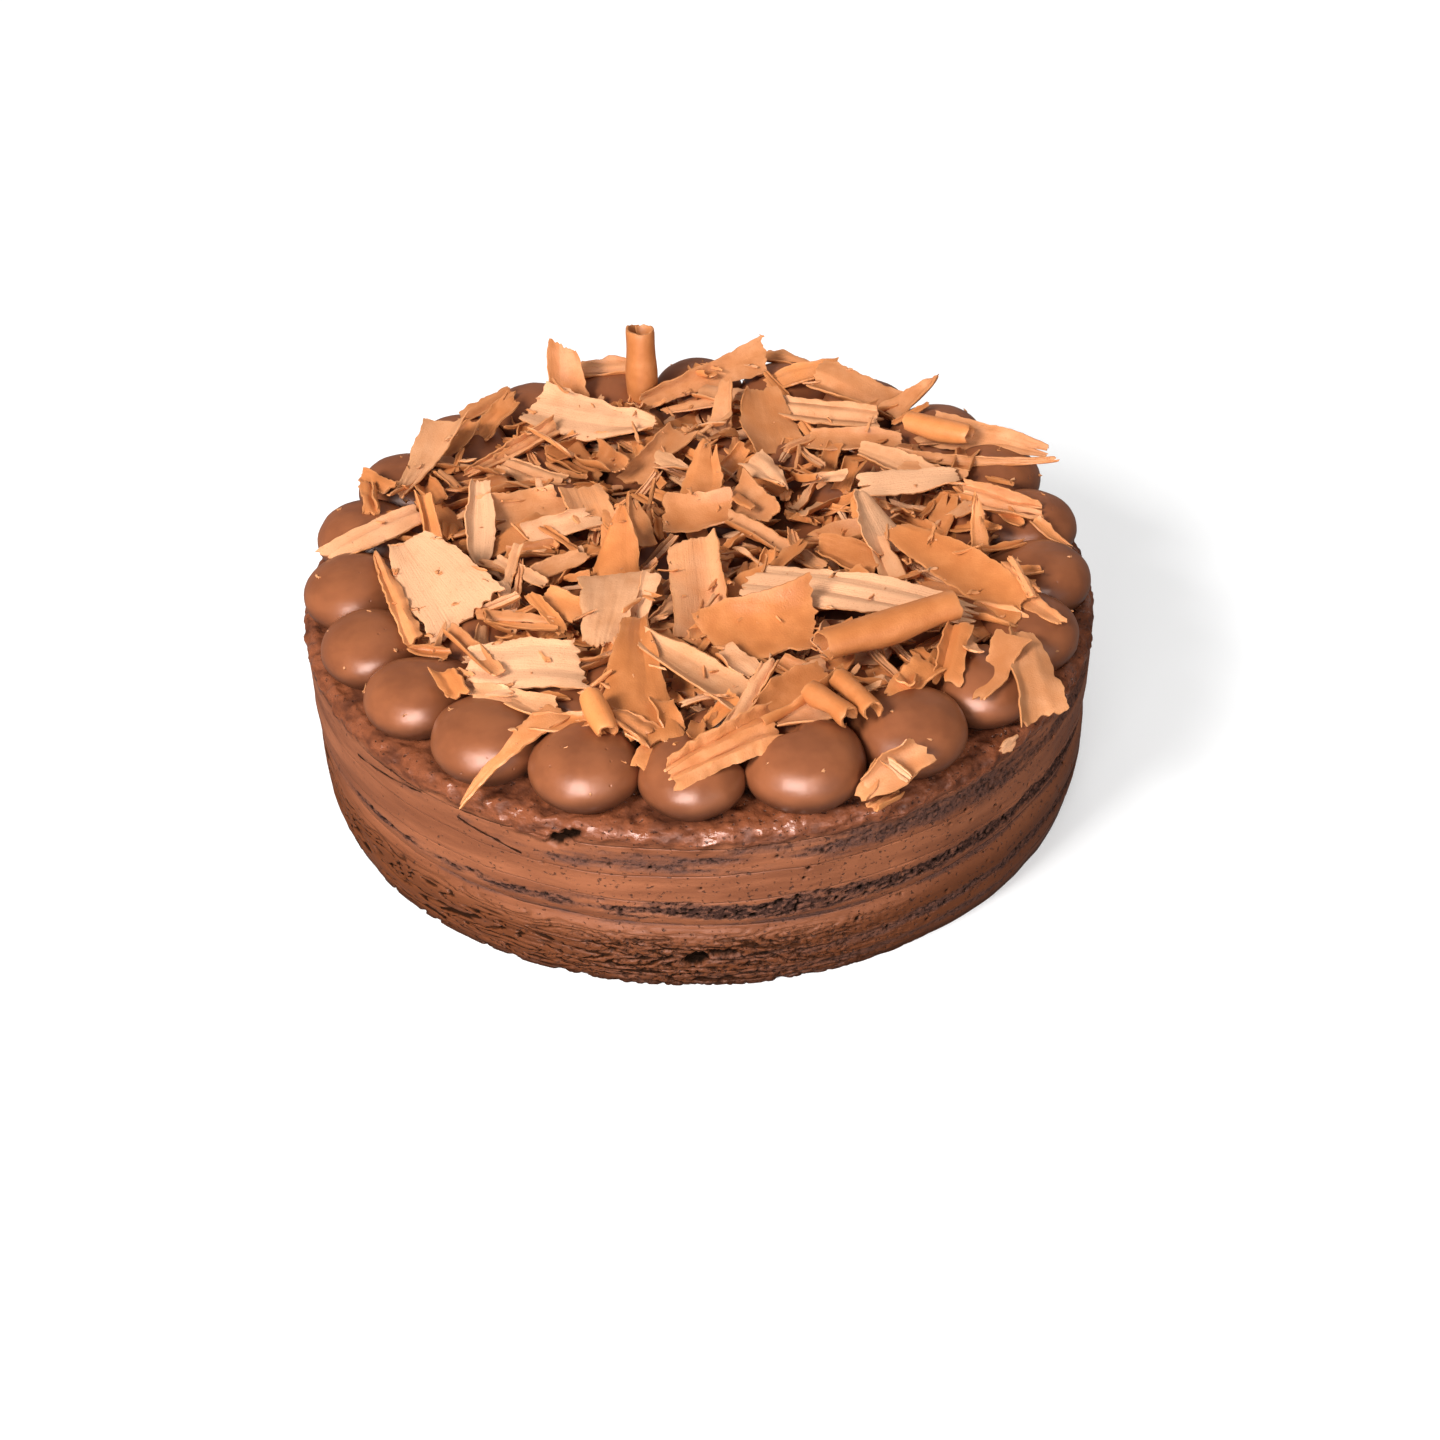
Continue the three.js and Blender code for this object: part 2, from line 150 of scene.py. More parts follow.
half = FLOOR_SIDE / 2
corners = [(-half, -half, 0), (half, -half, 0), (half, half, 0), (-half, half, 0)]
floor_mesh = bpy.data.meshes.new("floor")
floor_mesh.from_pydata(corners, [], [(0, 1, 2, 3)])
floor = bpy.data.objects.new("floor", floor_mesh)
floor_paint = bpy.data.materials.new("floor")
floor_paint.use_nodes = True
for label, value in FLOOR_PAINT.items():
    floor_paint.node_tree.nodes["Principled BSDF"].inputs[label].default_value = value
floor_mesh.materials.append(floor_paint)
floor.visible_diffuse = False
floor.visible_glossy = False
bpy.context.scene.collection.objects.link(floor)
print("floor:", FLOOR_SIDE, "m a side")

# %% [markdown]
# ## A helper for node trees
#
# Materials and Geometry Nodes are both trees of nodes. They could be drawn by hand in the node editor, but a
# script can be read, measured and run again. Wiring adds a node, sets its options and feeds its inputs by
# name: a socket is linked, any other value is set on the input itself. Tree builds on it. Its grain function
# is the one texture that most of the cake is made of, noise whose lumps have a real size in metres. Lumps
# that are long around the cake and short in height look like the marks of a palette knife. Most functions
# work with shares, numbers from 0 to 1 that say how much of something a place has.


# %% Adding and joining nodes
class Wiring:
    def __init__(self, tree):
        self.tree = tree

    def socket(self, sockets, name):
        return next(s for s in sockets if s.enabled and s.name == name)

    def feed(self, socket, value):
        if isinstance(value, bpy.types.NodeSocket):
            self.tree.links.new(value, socket)
        else:
            socket.default_value = value

    def add(self, kind, inputs=None, output=None, **options):
        """Adds a node and gives back one of its outputs, the first unless it is named"""
        node = self.tree.nodes.new(kind)
        for name, value in options.items():
            setattr(node, name, value)
        for name, value in (inputs or {}).items():
            self.feed(self.socket(node.inputs, name), value)
        if output is None:
            return next((s for s in node.outputs if s.enabled), None)
        return self.socket(node.outputs, output)

    def math(self, operation, *values):
        node = self.tree.nodes.new("ShaderNodeMath")
        node.operation = operation
        for socket, value in zip(node.inputs, values):
            self.feed(socket, value)
        return node.outputs[0]

    def vector(self, operation, *values):
        node = self.tree.nodes.new("ShaderNodeVectorMath")
        node.operation = operation
        for socket, value in zip(node.inputs, values):
            self.feed(socket, value)
        return next(s for s in node.outputs if s.enabled)

    def scaled(self, vector, amount):
        """A vector times a number"""
        result = self.vector("SCALE", vector)
        self.feed(result.node.inputs["Scale"], amount)
        return result

    def total(self, *values):
        result = values[0]
        for value in values[1:]:
            result = self.math("ADD", result, value)
        return result

    def product(self, *values):
        result = values[0]
        for value in values[1:]:
            result = self.math("MULTIPLY", result, value)
        return result

    def rest(self, share):
        """What a share leaves of one"""
        return self.math("SUBTRACT", 1.0, share)


print("wiring can:", ", ".join(name for name in vars(Wiring) if not name.startswith("_")))

# %% Noise, distances and colours
LEVEL = (1, 1, 0)


class Tree(Wiring):
    def step(self, value, low, high):
        """A share that rises smoothly from 0 to 1 while a value goes from low to high"""
        inputs = {"Value": value, "From Min": low, "From Max": high}
        return self.add("ShaderNodeMapRange", inputs, interpolation_type="SMOOTHSTEP")

    def grain(self, place, around, up, detail=2.0, shift=0.0):
        """Noise from 0 to 1, in lumps of a length around the cake and a height; shift picks other lumps"""
        sized = self.vector("MULTIPLY_ADD", place, (1 / around, 1 / around, 1 / up), (shift, shift, shift))
        return self.add("ShaderNodeTexNoise", {"Vector": sized, "Scale": 1.0, "Detail": detail}, "Fac")

    def swing(self, place, around, up, detail=2.0, shift=0.0):
        """The same noise from -1 to 1"""
        return self.math("MULTIPLY_ADD", self.grain(place, around, up, detail, shift), 2.0, -1.0)

    def height(self, place):
        return self.add("ShaderNodeSeparateXYZ", {"Vector": place}, "Z")

    def off_axis(self, place):
        """The level way from the axis to a place"""
        return self.vector("MULTIPLY", place, LEVEL)

    def off_line(self, place, start, end):
        """How far a place is from the line between two points"""
        along = self.vector("SUBTRACT", end, start)
        reach = self.vector("SUBTRACT", place, start)
        square = self.vector("DOT_PRODUCT", along, along)
        share = self.math("DIVIDE", self.vector("DOT_PRODUCT", reach, along), square)
        foot = self.scaled(along, self.add("ShaderNodeClamp", {"Value": share}))
        return self.vector("LENGTH", self.vector("SUBTRACT", reach, foot))

    def blend(self, share, first, second):
        inputs = {"Factor": share, "A": first, "B": second}
        return self.add("ShaderNodeMix", inputs, data_type="RGBA")


print("a tree can also:", ", ".join(name for name in vars(Tree) if not name.startswith("_")))


# %% [markdown]
# ## Growing and finishing a piece
#
# What repeats on the cake, or follows a rule, is made by Geometry Nodes. A modifier runs the tree on a piece,
# and its inputs are set by their identifiers. The tree works with fields, formulas that every point of the
# mesh works out for itself. The result is kept as a plain mesh and the modifier is taken off. Each finished
# piece then rides on the cake, and the solids that it stands for are hidden.


# %% Growing a piece with Geometry Nodes
def geometry_tree(name, sizes):
    """A Geometry Nodes tree with named inputs; sizes maps a label to its socket type"""
    group = bpy.data.node_groups.new(name, "GeometryNodeTree")
    face = group.interface
    face.new_socket("Geometry", in_out="INPUT", socket_type="NodeSocketGeometry")
    face.new_socket("Geometry", in_out="OUTPUT", socket_type="NodeSocketGeometry")
    for label, kind in sizes.items():
        face.new_socket(label, in_out="INPUT", socket_type=kind)
    start = group.nodes.new("NodeGroupInput")
    end = group.nodes.new("NodeGroupOutput")
    return Tree(group), start.outputs, end.inputs["Geometry"]


def end_tree(tree, result, geometry, finish):
    """Ends a tree: instances become plain mesh, because the export drops them, and the finish is set"""
    plain = tree.add("GeometryNodeRealizeInstances", {"Geometry": geometry})
    tree.feed(result, tree.add("GeometryNodeSetMaterial", {"Geometry": plain, "Material": finish}))
    return tree.tree


def grow(piece, group, values):
    """Runs a tree on a piece and keeps the result as a plain mesh"""
    modifier = piece.modifiers.new(group.name, "NODES")
    modifier.node_group = group
    for socket in group.interface.items_tree:
        if socket.in_out == "INPUT" and socket.name in values:
            modifier[socket.identifier] = values[socket.name]
    depsgraph = bpy.context.evaluated_depsgraph_get()
    made = bpy.data.meshes.new_from_object(piece.evaluated_get(depsgraph), preserve_all_data_layers=True,
                                           depsgraph=depsgraph)
    piece.modifiers.clear()
    piece.data = made
    made.name = piece.name
    return piece


def triangles_of(piece):
    return sum(len(face.vertices) - 2 for face in piece.data.polygons)


print("the floor has", triangles_of(floor), "triangles")


# %% Finishing helpers
def plain_piece(name, points, faces):
    mesh = bpy.data.meshes.new(name)
    mesh.from_pydata(points, [], faces, shade_flat=False)
    piece = bpy.data.objects.new(name, mesh)
    bpy.context.scene.collection.objects.link(piece)
    return piece


def set_down(piece, slot, *nodes):
    """A finished piece rides on the cake and hides the solids that it stands for; slot is not used"""
    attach(piece, "root")
    if nodes:
        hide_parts(*nodes)
    print(piece.name, triangles_of(piece), "triangles")


def new_finish(name):
    """A material, its tree, its shader and the place that its textures read"""
    finish = bpy.data.materials.new(name)
    finish.use_nodes = True
    tree = Tree(finish.node_tree)
    shader = finish.node_tree.nodes["Principled BSDF"]
    place = tree.add("ShaderNodeTexCoord", output="Object")
    return finish, tree, shader, place


def set_shader(tree, shader, values):
    for label, value in values.items():
        tree.feed(shader.inputs[label], value)


def attribute(tree, name, output="Fac"):
    return tree.add("ShaderNodeAttribute", output=output, attribute_name=name)


def bump(tree, height, distance, strength=1.0):
    return tree.add("ShaderNodeBump", {"Height": height, "Distance": distance, "Strength": strength})


print("materials so far:", [material.name for material in bpy.data.materials])

# %% [markdown]
# ## The scraped side
#
# Sponges, fillings and icing are turned bodies, each a stack of rings about the axis. A knife has pulled
# a thin coat over all of them, so the marks run on from layer to layer. They could be sculpted by hand, but
# then they would have to be matched at every joint. One Geometry Nodes tree makes the relief of every layer
# from its place in space alone, so it matches by itself. It decides where the coat has been scraped off, digs
# pores and pits there, draws long streaks in what is left, cracks the lowest sponge on one side and rolls
# the rim into lumps. Three marks have a place of their own: a hole low at the front, the slit beside it and
# a crack in the rim. The shares that the tree works out are stored on the mesh, and the finish reads them.

# %% Sizes of the layers
CAKE_RADIUS = 104.5 * MM
BASE_TUCK = 1.2 * MM
BASE_TUCK_HEIGHT = 7 * MM
WAIST = 1.3 * MM
WAIST_HEIGHT = 20 * MM
WAIST_HALF = 2.5 * MM
RIM_ROUND = 3.6 * MM
JOINT_WAVE = 0.8 * MM
LAYER_TOPS = {
    "sponge_lower": 10 * MM,
    "filling_lower": 20 * MM,
    "sponge_middle": 29 * MM,
    "filling_upper": 37 * MM,
    "sponge_upper": 45 * MM,
    "icing_top": 50 * MM,
}
TOP = LAYER_TOPS["icing_top"]


def smooth_step(low, high, value):
    share = np.clip((value - low) / (high - low), 0, 1)
    return share * share * (3 - 2 * share)


def wall_radius(height):
    """The wall is tucked in at its foot and has a slight waist"""
    tuck = BASE_TUCK * (1 - smooth_step(0, BASE_TUCK_HEIGHT, height))
    waist = WAIST * np.exp(-(((height - WAIST_HEIGHT) / WAIST_HALF) ** 2))
    return CAKE_RADIUS - tuck - waist


def joint_wave(angle, height):
    """How far a joint between layers rises and sinks round the cake"""
    fade = smooth_step(0, LAYER_TOPS["sponge_lower"], height) * smooth_step(0, RIM_ROUND, TOP - height)
    millimetres = height / MM
    waves = 0.6 * np.sin(3 * angle + 0.1 * millimetres) + 0.4 * np.sin(7 * angle + millimetres)
    return JOINT_WAVE * fade * waves


for height in (0.0, WAIST_HEIGHT, TOP):
    print("wall at", round(height / MM), "mm:", round(float(wall_radius(height) / MM), 1), "mm from the axis")


# %% A turned body
def turned_faces(rings, around):
    """Faces of a closed turned body: a fan at each pole and quads between the rings"""
    step = np.arange(around)
    after = (step + 1) % around
    first, last = 1, 1 + (rings - 1) * around
    quads = []
    for ring in range(rings - 1):
        low, high = first + ring * around, first + (ring + 1) * around
        quads += np.column_stack([low + step, low + after, high + after, high + step]).tolist()
    bottom = np.column_stack([np.zeros(around, int), first + after, first + step]).tolist()
    top = np.column_stack([np.full(around, last + around), last + step, last + after]).tolist()
    return bottom + quads + top


def turned_points(radii, heights, around, wave_low, wave_high):
    """Points of such a body, with the joint waves of its bottom and its top"""
    angle = np.arange(around) * 2 * math.pi / around
    share = (heights - heights[0]) / (heights[-1] - heights[0])
    lift = (1 - share[:, None]) * joint_wave(angle, wave_low) + share[:, None] * joint_wave(angle, wave_high)
    x = radii[:, None] * np.cos(angle)
    y = radii[:, None] * np.sin(angle)
    z = heights[:, None] + lift
    rings = np.stack([x, y, z], axis=-1).reshape(-1, 3)
    poles = [[0, 0, heights[0]], [0, 0, heights[-1]]]
    return np.concatenate([poles[:1], rings, poles[1:]])


print("a body of 3 rings with 8 points each has", len(turned_faces(3, 8)), "faces")

# %% Sizes of the marks on the wall
# Lumps of noise: how long they are around the cake and how high
SMEAR = (26 * MM, 4.5 * MM)
DASH = (9 * MM, 1.6 * MM)
STREAK = (24 * MM, 2.2 * MM)
FINE_STREAK = (12 * MM, 0.7 * MM)
CRACK = (30 * MM, 4 * MM)
CRACK_GAP = (14 * MM, 5 * MM)
TORN_EDGE = (2.2 * MM, 1.5 * MM)
PORE = 1.3 * MM
LONE_PIT = 6 * MM
LUMP = 17 * MM
RIM_LUMP = 4.2 * MM
ROW_LENGTH = 45 * MM
ROW_WANDER = 3 * MM
EDGE_WANDER = 1.8 * MM
RIM_EDGE = 12 * MM
RIM_WANDER = 4 * MM
CRACK_TURNS = 13.0
# Heights between which a mark fades
RIM_FADE = (TOP - 6 * MM, TOP - 3.6 * MM)
CRACK_FADE = (13 * MM, 20 * MM)
POROUS_FADE = (14 * MM, 21 * MM)
# Where noise begins to count as a mark, and where it counts in full
CRACK_LINE = (0.14, 0.6)
CRACK_KEPT = (0.2, 0.4)
SCRAPED = (0.45, 1.15)
PORES = (0.5, 0.64)
LONE_PITS = (0.05, 0.13)
# How far smears, dashes and the barer side bare the sponge, how firmly the coat holds, and where it cracks
SMEAR_BARES = 1.35
DASH_BARES = 0.8
SIDE_BARES = 0.7
COAT_HOLDS = -0.28
CRACKED_HOLDS = -0.75
print("the rim's finish begins", round(RIM_FADE[0] / MM, 1), "mm up")

# %% Rows, sides and single marks
# Rows of sponge that show: height and half height in millimetres, how bare the row is and how porous
SPONGE_ROWS = {
    "upper": (41, 6.0, 0.75, 0.55),
    "middle": (25, 4.2, 1.0, 1.0),
    "waist": (20, 1.2, 1.0, 0.2),
    "low": (10, 2.4, 0.9, 0.7),
    "foot": (4, 2.0, 0.9, 0.5),
}
# Rows lower than this are less bare where the sponge is cracked
CRACKED_TOP = 15
# Level directions in which the wall is barer, cracked or porous
BARER_SIDE = (0.75, -0.65, 0)
CRACKED_SIDE = (-0.7, -0.7, 0)
POROUS_SIDE = (0.05, -1, 0)
RELIEF = {
    "Crumb Depth": 0.95 * MM,
    "Streak Depth": 0.07 * MM,
    "Crack Depth": 0.8 * MM,
    "Lump Depth": 0.6 * MM,
    "Rim Depth": 1.7 * MM,
    "Mark Depth": 2.2 * MM,
}
# Marks along a line on the wall: its two ends in metres and its half width
WALL_MARKS = {
    "Hole": ((-0.0043, -0.1044, 0.0094), (-0.0011, -0.1045, 0.0110), 2.2 * MM),
    "Slit": ((0.0010, -0.1045, 0.0119), (0.0065, -0.1043, 0.0115), 1.6 * MM),
    "Rim Crack": ((-0.0302, -0.1000, 0.0470), (-0.0350, -0.0985, 0.0436), 2.0 * MM),
}
WIDEST_MARK = max(half for _, _, half in WALL_MARKS.values())
print("rows of sponge:", ", ".join(SPONGE_ROWS))
print("marks:", ", ".join(WALL_MARKS))


# %% Cracks and bare rows
def cracked_share(tree, outward):
    return tree.step(tree.vector("DOT_PRODUCT", outward, CRACKED_SIDE), 0.1, 0.8)


def wavy_cracks(tree, place, height, outward):
    """Thin wavy cracks low on one side, which break off and start again"""
    low = tree.rest(tree.step(height, *CRACK_FADE))
    waves = tree.math("SINE", tree.product(tree.swing(place, *CRACK, detail=1, shift=11), CRACK_TURNS))
    line = tree.rest(tree.step(tree.math("ABSOLUTE", waves), *CRACK_LINE))
    kept = tree.step(tree.grain(place, *CRACK_GAP, detail=2, shift=12), *CRACK_KEPT)
    return tree.product(line, kept, low, cracked_share(tree, outward))


def bare_rows(tree, place, height, barer, cracked):
    """Where the coat is off: how bare and how porous each place is"""
    wander = tree.swing(place, ROW_LENGTH, ROW_LENGTH, 1.0, 29)
    row_height = tree.math("MULTIPLY_ADD", wander, ROW_WANDER, height)
    smear = tree.product(tree.swing(place, *SMEAR, detail=4), SMEAR_BARES)
    dash = tree.product(tree.swing(place, *DASH, detail=4, shift=21), DASH_BARES)
    broken = tree.total(smear, dash, tree.product(tree.step(barer, -0.1, 0.9), SIDE_BARES), COAT_HOLDS)
    bare, porous = 0.0, 0.0
    for middle, half, share, holes in SPONGE_ROWS.values():
        off = tree.math("ABSOLUTE", tree.math("SUBTRACT", row_height, middle * MM))
        near = tree.rest(tree.math("DIVIDE", off, half * MM))
        mark = tree.step(tree.math("MULTIPLY_ADD", near, share, broken), *SCRAPED)
        mark = tree.product(mark, tree.step(near, 0.0, 0.4))
        if middle < CRACKED_TOP:
            mark = tree.product(mark, tree.math("MULTIPLY_ADD", cracked, CRACKED_HOLDS, 1.0))
        bare = tree.math("MAXIMUM", bare, mark)
        porous = tree.math("MAXIMUM", porous, tree.product(mark, holes))
    return bare, porous


print("cracks fade out between", *(round(height / MM) for height in CRACK_FADE), "mm up")


# %% Pits, marks and the way out
def pits(tree, place, porous, barer):
    """Pores where the sponge is porous, and lone pits on the barer side"""
    crumb = tree.grain(place, PORE, 0.8 * PORE, shift=3)
    pore = tree.product(porous, tree.step(crumb, *PORES))
    off = tree.add("ShaderNodeTexVoronoi", {"Vector": place, "Scale": 1 / LONE_PIT}, "Distance")
    lone = tree.product(tree.rest(tree.step(off, *LONE_PITS)), tree.step(barer, -0.3, 0.9))
    return tree.math("MAXIMUM", pore, lone)


def dug_marks(tree, place, given):
    """The marks with places of their own, each with a torn edge"""
    torn = tree.product(tree.swing(place, *TORN_EDGE, detail=3, shift=37), EDGE_WANDER)
    mark = 0.0
    for label, (_, _, half) in WALL_MARKS.items():
        off = tree.math("ADD", tree.off_line(place, given[f"{label} Start"], given[f"{label} End"]), torn)
        dug = tree.rest(tree.step(off, 0.45 * half, half))
        mark = tree.math("MAXIMUM", mark, tree.product(dug, half / WIDEST_MARK))
    return mark


def way_out(tree, height, outward):
    """Which way the relief moves: straight out from the wall, and up where the rim is rounded"""
    rounded = tree.step(height, TOP - RIM_ROUND, TOP)
    up = tree.add("ShaderNodeCombineXYZ", {"Z": rounded})
    return tree.vector("NORMALIZE", tree.vector("ADD", tree.scaled(outward, tree.rest(rounded)), up))


print("widest mark:", round(2 * WIDEST_MARK / MM, 1), "mm")


# %% The relief tree
def relief_tree():
    sizes = {label: "NodeSocketFloat" for label in RELIEF}
    for label in WALL_MARKS:
        sizes[f"{label} Start"] = sizes[f"{label} End"] = "NodeSocketVector"
    sizes["Finish"] = "NodeSocketMaterial"
    tree, given, result = geometry_tree("scraped_side", sizes)
    place = tree.add("GeometryNodeInputPosition")
    height = tree.height(place)
    level = tree.off_axis(place)
    outward = tree.vector("NORMALIZE", level)
    barer = tree.vector("DOT_PRODUCT", outward, BARER_SIDE)
    bare, porous = bare_rows(tree, place, height, barer, cracked_share(tree, outward))
    ragged = tree.math("MULTIPLY_ADD", tree.swing(place, RIM_EDGE, RIM_EDGE, 2.0, 33), RIM_WANDER, height)
    rim = tree.step(ragged, *RIM_FADE)
    below = tree.rest(tree.product(rim, 0.8))
    low = tree.rest(tree.step(height, *POROUS_FADE))
    facing = tree.step(tree.vector("DOT_PRODUCT", outward, POROUS_SIDE), 0.84, 0.99)
    porous = tree.math("MAXIMUM", porous, tree.product(low, facing, 0.6))
    pit = tree.product(pits(tree, place, porous, barer), below)
    bare = tree.product(bare, below)
    porous = tree.product(porous, below)
    crack = wavy_cracks(tree, place, height, outward)
    mark = dug_marks(tree, place, given)
    streaks = tree.total(tree.swing(place, *STREAK, detail=3, shift=7),
                         tree.swing(place, *FINE_STREAK, detail=2, shift=5))
    rim_lump = tree.product(rim, tree.swing(place, RIM_LUMP, 0.7 * RIM_LUMP, detail=3, shift=17))
    rise = tree.total(
        tree.product(given["Lump Depth"], tree.swing(place, LUMP, LUMP, shift=13)),
        tree.product(given["Streak Depth"], streaks),
        tree.product(given["Rim Depth"], rim_lump),
        tree.product(given["Crumb Depth"], tree.total(tree.product(bare, -0.25), tree.product(pit, -0.75))),
        tree.product(given["Crack Depth"], crack, -1.0),
        tree.product(given["Mark Depth"], mark, -1.0),
    )
    edge = tree.step(tree.vector("LENGTH", level), 0.6 * CAKE_RADIUS, 0.9 * CAKE_RADIUS)
    moved = tree.scaled(way_out(tree, height, outward), tree.product(rise, edge))
    # Pits, dug marks and cracks give one share of painted shade, stored as pit and painted near black
    hollow_shade = tree.math("MAXIMUM", tree.math("MAXIMUM", pit, mark), tree.product(crack, 0.7))
    # The shares are stored before the wall moves: afterwards the same nodes would read the moved place
    stored = given["Geometry"]
    for label, value in {"bare": bare, "porous": porous, "pit": hollow_shade, "rim": rim}.items():
        inputs = {"Geometry": stored, "Name": label, "Value": value}
        stored = tree.add("GeometryNodeStoreNamedAttribute", inputs, data_type="FLOAT", domain="POINT")
    wall = tree.add("GeometryNodeSetPosition", {"Geometry": stored, "Offset": moved})
    return end_tree(tree, result, wall, given["Finish"])


scraped_side = relief_tree()
relief_values = dict(RELIEF)
for label, (start, end, _) in WALL_MARKS.items():
    relief_values[f"{label} Start"] = start
    relief_values[f"{label} End"] = end
print("relief tree:", len(scraped_side.nodes), "nodes")

# %% [markdown]
# ## The finish of the side
#
# Seen close, the coat is a satin milk brown, lighter where it is thick. Bare sponge is smeared over and
# broken by flecks of nearly black crumb, and the rolled rim is redder and shines where it is wet. A picture
# could be painted and wrapped round the cake, but it would blur when seen close and would have to match the
# relief. Noise stays sharp, and the shares stored on the mesh say where each colour belongs. Specks and
# lines that are too fine for the mesh, such as a knife's line, are drawn here with a little bump. Pits,
# cracks, the dug marks and these thin lines are painted near black: painted shade in hollows that light
# doesn't reach. One function makes the finish for each of the three kinds of layer, because the coat that
# covers them is the same.

# %% Colours of the side
COAT_LIGHT = (0.262, 0.088, 0.039, 1)
COAT_DARK = (0.158, 0.05, 0.022, 1)
LOW_COAT = (0.1, 0.027, 0.008, 1)
SMEARED = (0.075, 0.032, 0.023, 1)
CRUMB_DARK = (0.027, 0.012, 0.009, 1)
# Painted shade: near black for pits, pores, cracks, dug marks and thin lines, where light doesn't reach
PIT_SHADE = (0.005, 0.003, 0.002, 1)
RIM_COLOUR = (0.185, 0.053, 0.021, 1)
# Painted shade in the rim's hollows, the low places of its torn lumps
RIM_HOLLOW_SHADE = (0.078, 0.023, 0.011, 1)
# Painted contact shadow: the foot of the wall darkens where it meets the floor
FOOT_SHADE = (0.03, 0.009, 0.004, 1)
LOW_COAT_FADE = (12 * MM, 23 * MM)
FOOT_SHADE_FADE = (0.4 * MM, 3 * MM)
# Sizes of the finer grain: how long around the cake and how high
COAT_SMEAR = (34 * MM, 5 * MM)
COAT_STREAK = (18 * MM, 0.9 * MM)
CRUMB = (0.9 * MM, 0.8 * MM)
RIM_TEAR = (7 * MM, 3.5 * MM)
LARGE_FLECK = (2.4 * MM, 1.0 * MM)
SMALL_FLECK = (1.1 * MM, 0.8 * MM)
SPECK = (1.2 * MM, 0.9 * MM)
LINE_TEAR = (3 * MM, 1 * MM)
SIDE_BUMP = 0.3 * MM
# Where grain begins to show as a colour, and where it shows in full
COAT_SHADE = (0.4, 0.82)
SPECKS_SHOW = (0.68, 0.76)
FLECKS_SHOW = (0.6, 1.35)
FLECK_CONTRAST = 4.2
RIM_HOLLOW_STEP = (0.3, 0.58)
RIM_WET = (0.48, 0.6)
# Lines too thin for the mesh, each through three places on the wall: a knife's line and a torn seam.
# They are painted near black, as painted shade in their grooves
THIN_LINES = (
    ((-0.0851, -0.0606, 0.0405), (-0.0770, -0.0706, 0.0422), (-0.0677, -0.0796, 0.0439)),
    ((-0.0585, -0.0866, 0.0414), (-0.0512, -0.0911, 0.0396), (-0.0434, -0.0950, 0.0373)),
)
LINE_WIDTH = (0.5 * MM, 0.95 * MM)
LINE_WANDER = 0.9 * MM
print("thin lines:", len(THIN_LINES))


# %% Parts of the side's finish
def coat_colour(tree, place, height, streak):
    """The brown of the coat, lighter in smears and darker low down"""
    smear = tree.grain(place, *COAT_SMEAR, detail=4, shift=15)
    shade = tree.step(tree.total(smear, tree.product(streak, 0.2)), *COAT_SHADE)
    low = tree.rest(tree.step(height, *LOW_COAT_FADE))
    return tree.blend(tree.product(low, 0.85), tree.blend(shade, COAT_DARK, COAT_LIGHT), LOW_COAT)


def crumb_grain(tree, place):
    """Two sizes of grain, halved and added"""
    large = tree.grain(place, *LARGE_FLECK, detail=5, shift=19)
    small = tree.grain(place, *SMALL_FLECK, detail=4, shift=23)
    return tree.total(tree.product(large, 0.5), tree.product(small, 0.5))


def fine_specks(tree, place, outward):
    """Dark specks in the coat, a few more on the barer side"""
    barer = tree.step(tree.vector("DOT_PRODUCT", outward, BARER_SIDE), -0.6, 0.9)
    speck = tree.grain(place, *SPECK, detail=2, shift=27)
    return tree.step(tree.math("MULTIPLY_ADD", barer, 0.06, speck), *SPECKS_SHOW)


def thin_lines(tree, place, height, outward):
    """How much of a thin line is at a place, with a width that varies"""
    torn = tree.grain(place, *LINE_TEAR, detail=3, shift=31)
    upright = tree.add("ShaderNodeCombineXYZ", {"Z": height})
    on_wall = tree.vector("MULTIPLY_ADD", outward, (CAKE_RADIUS, CAKE_RADIUS, 0), upright)
    shown = 0.0
    for first, second, third in THIN_LINES:
        for start, end in ((first, second), (second, third)):
            off = tree.math("MULTIPLY_ADD", torn, LINE_WANDER, tree.off_line(on_wall, start, end))
            shown = tree.math("MAXIMUM", shown, tree.rest(tree.step(off, *LINE_WIDTH)))
    return shown


print("a thin line is about", round(2 * LINE_WIDTH[0] / MM, 1), "mm wide")


